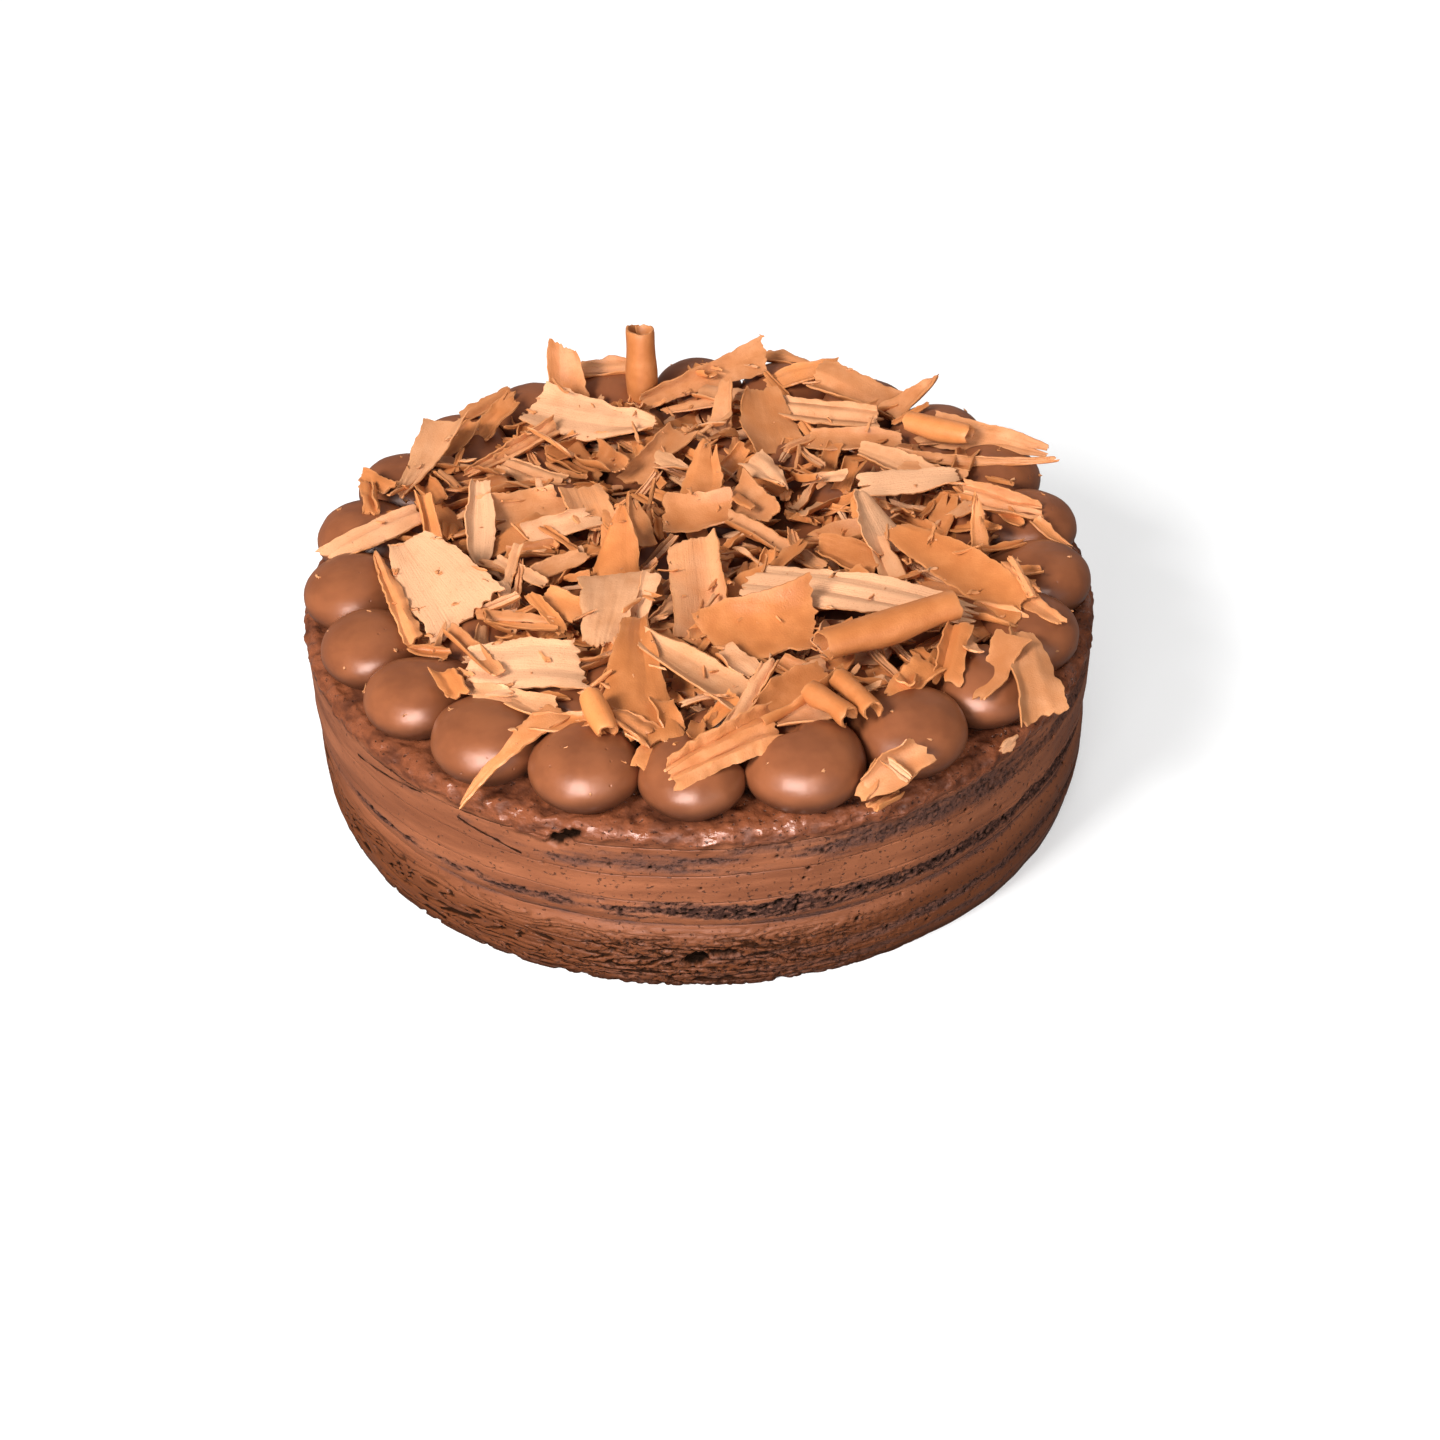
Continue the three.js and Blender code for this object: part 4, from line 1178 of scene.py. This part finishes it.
# %% What single shavings have
# By row: how the outline bulges, is slanted, torn and split, turned-up sides, ridges, ripples and creases
SPECIAL = {
    1: {"slants": (0, 0.5), "bulge": 0.1, "folds": (0, 1)},
    3: {"bulge": 0.1, "slants": (0, 0.3), "splits": (0, 0)},
    12: {"folds": (0.9, 2.2), "splits": (0, 1)},
    14: {"ridges": 0.006, "folds": (0, 1), "bulge": 0.6, "slants": (0.3, -0.3), "twist": 8, "splits": (0, 0),
         "tears": (0.3, 0.8), "tone": 0.25},
    15: {"bulge": 0.1, "tears": (0.5, 1.4), "flicks": (0.02, 0.02), "splits": (0, 0), "folds": (0.5, 1.2)},
    16: {"splits": (0, 0), "tears": (0.5, 1.5), "slants": (0, 0), "bulge": 0.2, "flicks": (0, 0)},
    17: {"tone": 0.3},
    18: {"bulge": 0.3, "tears": (1.4, 2.2), "slants": (0.3, 0.3), "splits": (1, 1), "folds": (0.5, 2.4),
         "ridges": 0.03, "tone": 1.0},
    19: {"ridges": 0.006, "folds": (0.6, 0.9), "slants": (-0.5, 0.3), "flicks": (0, 0.12), "splits": (0, 0),
         "tears": (0.3, 0.9), "tone": 0.4},
    20: {"ripple": 0.13, "splits": (0, 0), "tears": (0.4, 0.4), "folds": (0, 1)},
    21: {"ridges": 0.01, "folds": (0.4, 0.9), "bulge": 0.15, "twist": 0, "splits": (0, 0),
         "tears": (0.4, 0.2), "flicks": (0, 0), "tone": 0.3},
    22: {"folds": (0, 1), "ripple": 0.1, "tears": (1.2, 0.3), "bulge": 0.2, "splits": (0, 0),
         "flicks": (0, 0), "twist": 0, "tone": 0.5},
    23: {"ridges": 0.006, "folds": (0.35, 1.3), "tears": (2.2, 0.4), "bulge": -0.35, "flicks": (0.03, 0.03),
         "splits": (1, 0), "twist": 0, "tone": 0.3},
    24: {"folds": (0.3, 1.4), "splits": (0, 0)},
    25: {"splits": (1, 0), "tears": (1.4, 1.6), "folds": (0.9, 2.4), "bulge": 0.2},
    26: {"folds": (0.6, 1.5), "splits": (0, 1)},
    28: {"ridges": 0.012, "folds": (0.15, 1.6), "bulge": 0.2, "slants": (0.2, -0.2), "tears": (0.4, 1.2),
         "flicks": (0.03, 0.02), "twist": 0, "splits": (0, 0), "tone": 0.8},
    29: {"bulge": 0.3, "tears": (1.2, 1.5), "splits": (0, 0), "flicks": (0.02, 0.02), "folds": (0.3, 2.2),
         "tone": 0.8},
    33: {"bulge": -0.1, "folds": (0.4, 1.2)},
    34: {"folds": (0.9, 1.6), "splits": (0, 1), "tears": (0.8, 1.8), "twist": 10},
    35: {"folds": (0, 1), "bulge": 1.0, "splits": (0, 0)},
    37: {"ripple": 0.1, "folds": (0, 1)},
    40: {"folds": (0, 1)},
    44: {"folds": (0, 1), "ridges": 0.012},
    47: {"folds": (0.3, 0.8), "splits": (0, 0), "bulge": 0.3, "tone": 0.8},
    50: {"folds": (0.8, 2.0), "splits": (1, 1)},
    55: {"folds": (0, 1), "splits": (0, 0), "ridges": 0.006, "tears": (0.6, 0.9), "tone": 0.0},
    96: {"tears": (1.2, 1.8), "folds": (0.5, 1.8)},
}
print("shavings with changes of their own:", len(SPECIAL))


# %% [markdown]
# ## How one shaving is made
#
# No two real shavings have the same edges, so each gets a style from its own seeded random numbers. In the
# functions below, s runs from 0 to 1 along the strip and t from -0.5 to 0.5 across it. The flat outline is
# torn and ridged first, then warped out of its plane, curled, bowed, turned and set in its place. An upper
# and a lower sheet, closed by a rim and thinner towards it, make it solid. A cloth simulation could also
# curl a strip, but then none would keep the place and the bends of its row.


# %% Random lines and styles
def rough_line(rng, places, knots, octaves, fall=0.55):
    """A seeded jagged line over places from 0 to 1, about one high"""
    line = np.zeros_like(places)
    height = 1.0
    for _ in range(octaves):
        line = line + height * np.interp(places, np.linspace(0, 1, knots + 1), rng.uniform(-1, 1, knots + 1))
        knots *= 2
        height *= fall
    return line


def random_style(rng):
    """What a shaving has beyond its row: how its outline bulges, is cut and torn, and how it warps"""
    return {
        "bulge": rng.uniform(0.1, 0.5),
        "slants": rng.uniform(-0.45, 0.45, 2),
        "tears": rng.uniform(0.4, 1.1, 2),
        "splits": rng.choice([0, 0, 0, 1], 2),
        "twist": rng.uniform(-16, 16),
        "flicks": rng.choice([-1, 1, 1], 2) * rng.uniform(0, 0.15, 2),
        "ridges": rng.choice([0.006, 0.012, 0.03]),
        "ripple": 0.0,
        "folds": (rng.choice([0, 0, 0.3, 0.6]), rng.uniform(0.8, 2.2)),
        "tone": rng.uniform(),
    }


print("a rough line:", rough_line(np.random.default_rng(0), np.linspace(0, 1, 5), 3, 2).round(2))

# %% A flat strip
# In millimetres: how far apart the steps and teeth of a torn end and the nicks of a side are, and how deep
END_STEP = 6
END_TOOTH = 1.5
SIDE_NICK = 2.0
SIDE_NICK_DEPTH = 0.4
RIPPLE_LENGTH = 1.7
# How far a side wanders, as a share of the width
SIDE_WANDER = 0.055


def torn_line(rng, t, width, tear, split):
    """How far a torn end reaches: a few large steps, many small teeth and perhaps a split, in millimetres"""
    large = rough_line(rng, t + 0.5, max(2, round(width / END_STEP)), 1)
    teeth = rough_line(rng, t + 0.5, max(3, round(width / END_TOOTH)), 2, 0.7)
    notch = np.clip(1 - np.abs(t - rng.uniform(-0.35, 0.35)) / rng.uniform(0.06, 0.15), 0, 1)
    return tear * (0.8 * large + 0.8 * teeth), split * rng.uniform(2, 6) * notch


def ragged_side(rng, s, length, width):
    """How far a long side strays from its line, in millimetres"""
    wander = SIDE_WANDER * width * rough_line(rng, s, 3, 2)
    return wander + SIDE_NICK_DEPTH * rough_line(rng, s, max(4, round(length / SIDE_NICK)), 2, 0.8)


def strip_grid(rng, length, width, ends, style, cells):
    """Flat strip in millimetres: x along it, y across it and the height of its ridges"""
    s = np.linspace(0, 1, cells[0] + 1)[:, None]
    t = np.linspace(-0.5, 0.5, cells[1] + 1)[None, :]
    share = ends[0] + (ends[1] - ends[0]) * s
    breadth = share + style["bulge"] * (1 - share) * 4 * s * (1 - s)
    sides = [ragged_side(rng, s, length, width) for _ in range(2)]
    y = t * width * breadth + np.abs(2 * t) ** 3 * np.where(t < 0, sides[0], sides[1]) * np.sqrt(breadth)
    torn = [torn_line(rng, t, width, *end) for end in zip(style["tears"], style["splits"])]
    (first, first_split), (last, last_split) = torn
    x = (s - 0.5) * length + (1 - s) ** 4 * (first + first_split) + s ** 4 * (last - last_split)
    x = x + y * ((1 - s) ** 2 * style["slants"][0] + s ** 2 * style["slants"][1])
    ridge = np.zeros_like(x)
    for wavelength in rng.uniform(1.2, 4.5, 4):
        wander = 0.25 * rough_line(rng, s, 3, 2)
        ridge += style["ridges"] * np.sin(2 * math.pi * (t * width / wavelength + wander + rng.uniform()))
    swerve = 0.4 * rough_line(rng, t + 0.5, 4, 2)
    ridge += style["ripple"] * np.sin(2 * math.pi * (x / RIPPLE_LENGTH + swerve))
    return s, t, x, y, ridge


print("a side may nick", SIDE_NICK_DEPTH, "mm deep every", SIDE_NICK, "mm")

# %% Turning and bending
ROLL_TIGHTEN = 0.2


def turn_matrix(heading, rise, lean):
    turns = [(heading, "Z"), (-rise, "Y"), (lean, "X")]
    result = Matrix.Identity(3)
    for angle, axis in turns:
        result = result @ Matrix.Rotation(math.radians(angle), 3, axis)
    return np.array(result)


def bent(x, y, z, s, length, width, bends, twist):
    """Curls a strip across its width, twists it, then bows it along its length"""
    curl, bow = bends
    if curl:
        angle = math.radians(curl)
        radius = width / angle * (1 - ROLL_TIGHTEN * (y / width + 0.5) * max(0, curl - 180) / 180)
        turn = y / radius
        y, z = (radius - z) * np.sin(turn), radius - (radius - z) * np.cos(turn)
    turn = math.radians(twist) * (s - 0.5)
    y, z = y * np.cos(turn) - z * np.sin(turn), y * np.sin(turn) + z * np.cos(turn)
    if bow:
        radius = length / math.radians(bow)
        reach = radius - z
        x, z = reach * np.sin(x / radius), radius - reach * np.cos(x / radius)
    return x, y, z


print("turned by 90 degrees, x points along", turn_matrix(90, 0, 0)[:, 0].round(2))


# %% Faces of a strip
def strip_faces(along, across):
    """Quads of a closed strip: upper side, lower side and the rim between them"""
    row = across + 1
    count = (along + 1) * row
    a = (np.arange(along)[:, None] * row + np.arange(across)[None, :]).ravel()
    upper = np.column_stack([a, a + row, a + row + 1, a + 1])
    lower = np.column_stack([a, a + 1, a + row + 1, a + row]) + count
    i = np.arange(along) * row
    j = np.arange(across)
    near_side = np.column_stack([i, i + count, i + row + count, i + row])
    far = i + across
    far_side = np.column_stack([far, far + row, far + row + count, far + count])
    end = along * row + j
    start_end = np.column_stack([j, j + 1, j + 1 + count, j + count])
    last_end = np.column_stack([end, end + count, end + 1 + count, end + 1])
    return np.concatenate([upper, lower, near_side, far_side, start_end, last_end])


print("a strip of 8 by 4 cells has", len(strip_faces(8, 4)), "faces")

# %% Rolls and warped strips
# A strip that curls further than this is a roll: it turns a little more and keeps straight edges
ROLLED = 250
ROLL_MORE = 1.12
ROLL_STYLE = {
    "twist": 0,
    "flicks": (0, 0),
    "slants": (0.05, 0),
    "tears": (0.5, 0.5),
    "splits": (0, 0),
    "folds": (0, 1),
}


def warp(rng, s, t, width, style):
    """How far the strip rises out of its plane: turned-up sides, wavy edges and creases"""
    flicks = [np.clip((side * t - 0.12) / 0.38, 0, 1) ** 2 for side in (-1, 1)]
    wave = 0.05 * width * np.sin(2 * math.pi * (rng.uniform(0.5, 1.3) * s + rng.uniform()))
    rise = width * (flicks[0] * style["flicks"][0] + flicks[1] * style["flicks"][1]) + wave * (2 * t) ** 2
    depth, count = style["folds"]
    fold = np.arcsin(np.sin(2 * math.pi * (count * t + 0.12 * rough_line(rng, s, 3, 2)))) * 2 / math.pi
    return rise + depth * fold


print("rolls in the table:", sum(row[4][0] > ROLLED for row in SHAVINGS))

# %% One closed shaving
SHAVING_THICKNESS = 0.9
# How pale the lower face of every shaving is
UNDERSIDE = 0.12


def shaving(rng, row, cells, changes):
    """Points, faces and shares of one closed shaving, in metres"""
    middle, turn, (length, width), ends, (curl, bow), pale = row
    style = {**random_style(rng), **changes}
    rolled = curl > ROLLED
    if rolled:
        curl, width = ROLL_MORE * curl, ROLL_MORE * width
        style = {**style, **ROLL_STYLE}
    s, t, x, y, ridge = strip_grid(rng, length, width, ends, style, cells)
    rise = warp(rng, s, t, width, style)
    x, y, z = bent(x, y, rise, s, length, width, (curl, bow), style["twist"])
    if rolled:
        y, z = -y, 2 * width / math.radians(curl) - z
    sheet = np.stack([x, y, z], axis=-1) @ turn_matrix(*turn).T + np.array(middle) + (0, 0, TOP / MM)
    normal = np.cross(np.gradient(sheet, axis=0), np.gradient(sheet, axis=1))
    normal /= np.maximum(np.linalg.norm(normal, axis=-1, keepdims=True), 1e-9)
    feather = (1 - 0.55 * np.abs(2 * t) ** 6) * (1 - 0.45 * np.abs(2 * s - 1) ** 12)
    half_thick = 0.5 * SHAVING_THICKNESS * rng.uniform(0.75, 1.3) * feather
    upper = sheet + normal * (half_thick + ridge)[..., None]
    lower = sheet - normal * (half_thick - 0.5 * ridge)[..., None]
    points = np.concatenate([upper.reshape(-1, 3), lower.reshape(-1, 3)]) * MM
    edge = np.maximum(np.abs(2 * t) ** 12, np.abs(2 * s - 1) ** 18)
    flat = np.broadcast_arrays(s * length, t * width, 0.0 * edge)
    strip = np.stack(flat, axis=-1).reshape(-1, 3) * MM
    shares = {
        "pale": np.repeat([pale, UNDERSIDE], edge.size),
        "edge": np.tile(edge.ravel(), 2),
        "tone": np.full(2 * edge.size, style["tone"]),
    }
    return points, strip_faces(*cells), shares, np.concatenate([strip, strip])


sample, _, _, _ = shaving(np.random.default_rng(0), SHAVINGS[0], (8, 4), {})
print("the first shaving is", round(float(np.ptp(sample[:, 2]) / MM), 1), "mm tall")

# %% Shavings joined in one piece
SHARP_EDGE = math.radians(50)
CELLS_ACROSS = 1.4


def shavings_piece(name, rows, seed, cell_size, changes=(), first=0, with_tone=True):
    """Joins the shavings of many rows into one mesh that carries their shares"""
    points, faces, strips, shares, count = [], [], [], {}, 0
    for number, row in enumerate(rows, first):
        rng = np.random.default_rng([seed, number])
        length, width = row[2]
        cells = (max(2, round(length / cell_size)), max(2, round(CELLS_ACROSS * width / cell_size)))
        made, quads, share, strip = shaving(rng, row, cells, dict(changes).get(number, {}))
        points.append(made)
        faces.append(quads + count)
        strips.append(strip)
        count += len(made)
        for label, values in share.items():
            shares.setdefault(label, []).append(values)
    piece = plain_piece(name, np.concatenate(points).tolist(), np.concatenate(faces).tolist())
    for label, values in shares.items():
        if label != "tone" or with_tone:
            store = piece.data.attributes.new(label, "FLOAT", "POINT")
            store.data.foreach_set("value", np.concatenate(values))
    store = piece.data.attributes.new("strip", "FLOAT_VECTOR", "POINT")
    store.data.foreach_set("vector", np.concatenate(strips).ravel())
    piece.data.set_sharp_from_angle(angle=SHARP_EDGE)
    return piece


print("rows to lay:", len(SHAVINGS))


# %% [markdown]
# ## The finish of a shaving
#
# The face that the blade has passed over is pale, matt and finely lined. The other face is smoother and more
# orange. Near the edges both faces are painted a shade paler: partly the colour of torn chocolate, partly a
# painted highlight along the thin edge. Lines that are read from the place in space would cut straight
# through a curl, so the strip's own coordinates run them along each shaving, whichever way it lies.

# %% The shaving finish
PALE = (0.62, 0.32, 0.172, 1)
PALE_DIM = (0.5, 0.24, 0.115, 1)
ORANGE = (0.55, 0.188, 0.055, 1)
ORANGE_DIM = (0.4, 0.13, 0.037, 1)
# Paler near the edges: partly the colour of torn chocolate, partly a painted highlight
PALE_EDGE_AND_HIGHLIGHT = (0.55, 0.27, 0.115, 1)
LINE_LENGTH = 9 * MM
LINE_SPACING = 0.55 * MM
BLOTCH = 5 * MM
DUST = 0.45 * MM
SHAVING_BUMP = 0.16 * MM
SHAVING_SHINE = 0.22
SHAVING_SHADE = (0.4, 1.05)
DUST_SHOWS = (0.3, 0.42)
# Each tone reads another part of the noise, so that no two shavings have the same lines
TONE_SHIFT = (37, 53, 11)


def shaving_finish():
    finish, tree, shader, place = new_finish("shaving")
    strip = attribute(tree, "strip", "Vector")
    tone = attribute(tree, "tone")
    along = tree.vector("MULTIPLY", strip, (1 / LINE_LENGTH, 1 / LINE_SPACING, 1))
    shifted = tree.vector("ADD", along, tree.scaled(TONE_SHIFT, tone))
    lines = tree.add("ShaderNodeTexNoise", {"Vector": shifted, "Scale": 1.0, "Detail": 3.0}, "Fac")
    blotch = tree.grain(place, BLOTCH, BLOTCH, detail=3)
    dust = tree.grain(place, DUST, DUST, detail=3, shift=6)
    lined = tree.math("MULTIPLY_ADD", tree.step(tone, 0.4, 1.0), 0.7, 0.12)
    shade = tree.total(tree.product(lines, lined, 0.25), tree.product(blotch, 0.8), tree.product(tone, 0.6))
    shade = tree.step(shade, *SHAVING_SHADE)
    share = tree.step(tree.total(attribute(tree, "pale"), tree.product(blotch, 0.5), -0.25), 0.0, 1.0)
    colour = tree.blend(share, tree.blend(shade, ORANGE_DIM, ORANGE), tree.blend(shade, PALE_DIM, PALE))
    # Near the edges: partly torn chocolate's colour, partly a painted highlight along the edge
    colour = tree.blend(tree.product(attribute(tree, "edge"), 0.22), colour, PALE_EDGE_AND_HIGHLIGHT)
    specks = tree.rest(tree.step(dust, *DUST_SHOWS))
    relief = tree.total(tree.product(lines, lined, tree.total(0.3, share)), tree.product(dust, 0.6))
    set_shader(tree, shader, {
        "Base Color": tree.blend(tree.product(specks, 0.4), colour, ORANGE_DIM),
        "Roughness": tree.total(0.36, tree.product(share, 0.3), tree.product(dust, 0.1)),
        "Normal": bump(tree, relief, SHAVING_BUMP),
        "Specular IOR Level": SHAVING_SHINE,
    })
    return finish


shaved = shaving_finish()
print("shaving finish:", len(shaved.node_tree.nodes), "nodes")

# %% Lay the large shavings
HEAP_SEED = 20
LARGE_CELL = 0.9
FURTHER_CELL = 0.8

heap = shavings_piece("shavings_heap_large", SHAVINGS[:FURTHER], HEAP_SEED, LARGE_CELL, SPECIAL)
heap.data.materials.append(shaved)
set_down(heap, "shavings", "shavings_heap")
further = shavings_piece("shavings_heap_further", SHAVINGS[FURTHER:], HEAP_SEED, FURTHER_CELL, SPECIAL,
                         first=FURTHER)
further.data.materials.append(shaved)
set_down(further, "shavings")

# %% [markdown]
# ## The small shavings and slivers
#
# Between the large shavings lie hundreds of small ones. They could be dropped in a simulation, but a heap
# that falls is hard to fit between others. Instead a few kinds are made in the same way as the large ones,
# and Geometry Nodes scatter them over the bed and the dollops: points at least a spacing apart, one kind
# picked for each, turned and sized at random from a fixed seed. Noise leaves bare patches between them.
# A ray sent upwards from each point tells whether a large shaving covers it, and what is covered lies
# flatter and lower. The same tree then drops crumbs and slivers on the shavings and the dollops.

# %% Inputs of the scatter tree
SCATTER_INPUTS = {
    "Kinds": "NodeSocketCollection",
    "Roof": "NodeSocketObject",
    "Spacing": "NodeSocketFloat",
    "Lift": "NodeSocketFloat",
    "Tilt": "NodeSocketFloat",
    "Smallest": "NodeSocketFloat",
    "Largest": "NodeSocketFloat",
    "Inner": "NodeSocketFloat",
    "Outer": "NodeSocketFloat",
    "Patch": "NodeSocketFloat",
    "Bare": "NodeSocketFloat",
    "Seed": "NodeSocketInt",
    "Finish": "NodeSocketMaterial",
}
print("inputs:", ", ".join(SCATTER_INPUTS))

# %% Where small shavings lie
STEEPEST = 0.35


def random_field(tree, low, high, seed, kind="FLOAT"):
    inputs = {"Min": low, "Max": high, "Seed": seed}
    return tree.add("FunctionNodeRandomValue", inputs, data_type=kind)


def chosen_places(tree, given):
    """Places between the inner and outer radius that face upwards and aren't in a bare patch"""
    place = tree.add("GeometryNodeInputPosition")
    out = tree.vector("LENGTH", tree.off_axis(place))
    inputs = {"Vector": place, "Scale": tree.math("DIVIDE", 1.0, given["Patch"]), "Detail": 1.0}
    patch = tree.add("ShaderNodeTexNoise", inputs, "Fac")
    facing = tree.height(tree.add("GeometryNodeInputNormal"))
    return tree.product(
        tree.math("LESS_THAN", out, given["Outer"]),
        tree.math("GREATER_THAN", out, given["Inner"]),
        tree.math("GREATER_THAN", facing, STEEPEST),
        tree.math("GREATER_THAN", patch, given["Bare"]),
    )


print("steepest slope that holds a shaving:", round(math.degrees(math.acos(STEEPEST))), "degrees")

# %% The scatter tree
THICKEST = 400000.0
ROOF_REACH = 20 * MM
PRESSED = 0.85


def scatter_tree():
    tree, given, result = geometry_tree("scattered", SCATTER_INPUTS)
    seed = given["Seed"]
    inputs = {"Mesh": given["Geometry"], "Selection": chosen_places(tree, given), "Seed": seed,
              "Distance Min": given["Spacing"], "Density Max": THICKEST}
    points = tree.add("GeometryNodeDistributePointsOnFaces", inputs, "Points", distribute_method="POISSON")
    inputs = {"Collection": given["Kinds"], "Separate Children": True, "Reset Children": True}
    kinds = tree.add("GeometryNodeCollectionInfo", inputs)
    roof = tree.add("GeometryNodeObjectInfo", {"Object": given["Roof"]}, "Geometry")
    inputs = {"Target Geometry": roof, "Ray Direction": (0, 0, 1), "Ray Length": ROOF_REACH}
    covered = tree.add("GeometryNodeRaycast", inputs, "Is Hit")
    free = tree.math("MULTIPLY_ADD", covered, -PRESSED, 1.0)
    tilt = tree.product(given["Tilt"], free)
    back = tree.product(tilt, -1.0)
    low = tree.add("ShaderNodeCombineXYZ", {"X": back, "Y": back, "Z": 0.0})
    high = tree.add("ShaderNodeCombineXYZ", {"X": tilt, "Y": tilt, "Z": 2 * math.pi})
    turn = random_field(tree, low, high, seed, "FLOAT_VECTOR")
    size = random_field(tree, given["Smallest"], given["Largest"], seed)
    inputs = {"Points": points, "Instance": kinds, "Pick Instance": True, "Rotation": turn, "Scale": size}
    bits = tree.add("GeometryNodeInstanceOnPoints", inputs)
    rise = tree.product(random_field(tree, 0.0, given["Lift"], tree.math("ADD", seed, 1.0)), free)
    lift = tree.add("ShaderNodeCombineXYZ", {"Z": rise})
    inputs = {"Instances": bits, "Translation": lift, "Local Space": False}
    bits = tree.add("GeometryNodeTranslateInstances", inputs)
    tone = random_field(tree, 0.0, 1.0, tree.math("ADD", seed, 2.0))
    inputs = {"Geometry": bits, "Name": "tone", "Value": tone}
    bits = tree.add("GeometryNodeStoreNamedAttribute", inputs, data_type="FLOAT", domain="INSTANCE")
    return end_tree(tree, result, bits, given["Finish"])


scattered = scatter_tree()
print("scatter tree:", len(scattered.nodes), "nodes")


# %% Kinds of small shavings
def shaving_kinds(name, count, seed, lengths, widths, curls, cell_size, palest=0.0):
    """A collection of small shavings about the origin, for scattering"""
    rng = np.random.default_rng(seed)
    kinds = bpy.data.collections.new(name)
    bpy.context.scene.collection.children.link(kinds)
    for number in range(count):
        size = (rng.uniform(*lengths), rng.uniform(*widths))
        ends = (rng.uniform(0.3, 1), rng.uniform(0.2, 1))
        bends = (rng.uniform(*curls), rng.uniform(-25, 25))
        row = [(0, 0, -TOP / MM), (0, 0, 0), size, ends, bends, max(palest, rng.uniform(0, 1) ** 1.5)]
        kind = shavings_piece(f"{name}_{number}", [row], seed + number, cell_size, with_tone=False)
        bpy.context.scene.collection.objects.unlink(kind)
        kinds.objects.link(kind)
    return kinds


def scatter(name, kinds, over, **values):
    """Scatters kinds over a copy of a piece, and keeps only what was scattered"""
    piece = bpy.data.objects.new(name, over.data.copy())
    shares = [a.name for a in piece.data.attributes if not a.is_required and not a.is_internal]
    for share in shares:
        piece.data.attributes.remove(piece.data.attributes[share])
    bpy.context.scene.collection.objects.link(piece)
    grow(piece, scattered, {"Kinds": kinds, "Roof": heap, **values})
    return piece


def clear_kinds(kinds):
    for kind in list(kinds.objects):
        bpy.data.objects.remove(kind)
    bpy.data.collections.remove(kinds)


print("to be scattered over:", ", ".join(piece.name for piece in (bed, ring, heap)))


# %% Scatter the small shavings
SCATTERS = {
    "shavings_small": {
        "over": bed,
        "kinds": {"count": 18, "seed": 40, "lengths": (9, 20), "widths": (3, 10), "curls": (40, 190),
                  "cell_size": 1.3},
        "spread": {"Spacing": 5.6 * MM, "Lift": 4.0 * MM, "Tilt": 0.5, "Smallest": 0.75, "Largest": 1.1,
                   "Inner": 0.0, "Outer": 77 * MM, "Patch": 9 * MM, "Bare": 0.4, "Seed": 3},
    },
    "shavings_on_dollops": {
        "over": ring,
        "kinds": {"count": 12, "seed": 55, "lengths": (11, 21), "widths": (4, 11), "curls": (40, 190),
                  "cell_size": 1.3},
        "spread": {"Spacing": 8.0 * MM, "Lift": 2.0 * MM, "Tilt": 0.4, "Smallest": 0.7, "Largest": 1.1,
                   "Inner": 62 * MM, "Outer": 86 * MM, "Patch": 9 * MM, "Bare": 0.33, "Seed": 8},
    },
    "shavings_slivers": {
        "over": bed,
        "kinds": {"count": 12, "seed": 70, "lengths": (5, 13), "widths": (1.2, 3.5), "curls": (0, 150),
                  "cell_size": 1.2},
        "spread": {"Spacing": 8.0 * MM, "Lift": 6.0 * MM, "Tilt": 0.5, "Smallest": 0.6, "Largest": 1.3,
                   "Inner": 0.0, "Outer": 78 * MM, "Patch": 9 * MM, "Bare": 0.33, "Seed": 5},
    },
    "crumbs_on_shavings": {
        "over": heap,
        "kinds": {"count": 8, "seed": 90, "lengths": (1.0, 2.6), "widths": (0.8, 1.8), "curls": (0, 90),
                  "cell_size": 1.2, "palest": 0.6},
        "spread": {"Spacing": 12.0 * MM, "Lift": 0.2 * MM, "Tilt": 0.4, "Smallest": 0.25, "Largest": 0.8,
                   "Inner": 0.0, "Outer": 95 * MM, "Patch": 20 * MM, "Bare": 0.0, "Seed": 11},
    },
    "slivers_on_shavings": {
        "over": heap,
        "kinds": {"count": 10, "seed": 80, "lengths": (3, 9), "widths": (0.7, 1.8), "curls": (0, 120),
                  "cell_size": 1.0, "palest": 0.3},
        "spread": {"Spacing": 11.0 * MM, "Lift": 0.4 * MM, "Tilt": 0.35, "Smallest": 0.5, "Largest": 1.1,
                   "Inner": 0.0, "Outer": 88 * MM, "Patch": 12 * MM, "Bare": 0.45, "Seed": 17},
    },
    "crumbs_on_dollops": {
        "over": ring,
        "kinds": {"count": 8, "seed": 95, "lengths": (1.0, 2.6), "widths": (0.8, 1.8), "curls": (0, 90),
                  "cell_size": 1.2, "palest": 0.6},
        "spread": {"Spacing": 11.0 * MM, "Lift": 0.1 * MM, "Tilt": 0.4, "Smallest": 0.3, "Largest": 0.9,
                   "Inner": 70 * MM, "Outer": 104 * MM, "Patch": 20 * MM, "Bare": 0.0, "Seed": 13},
    },
}
for name, settings in SCATTERS.items():
    kinds = shaving_kinds(f"{name}_kinds", **settings["kinds"])
    bits = scatter(name, kinds, settings["over"], Finish=shaved, **settings["spread"])
    clear_kinds(kinds)
    set_down(bits, "shavings")

# %% [markdown]
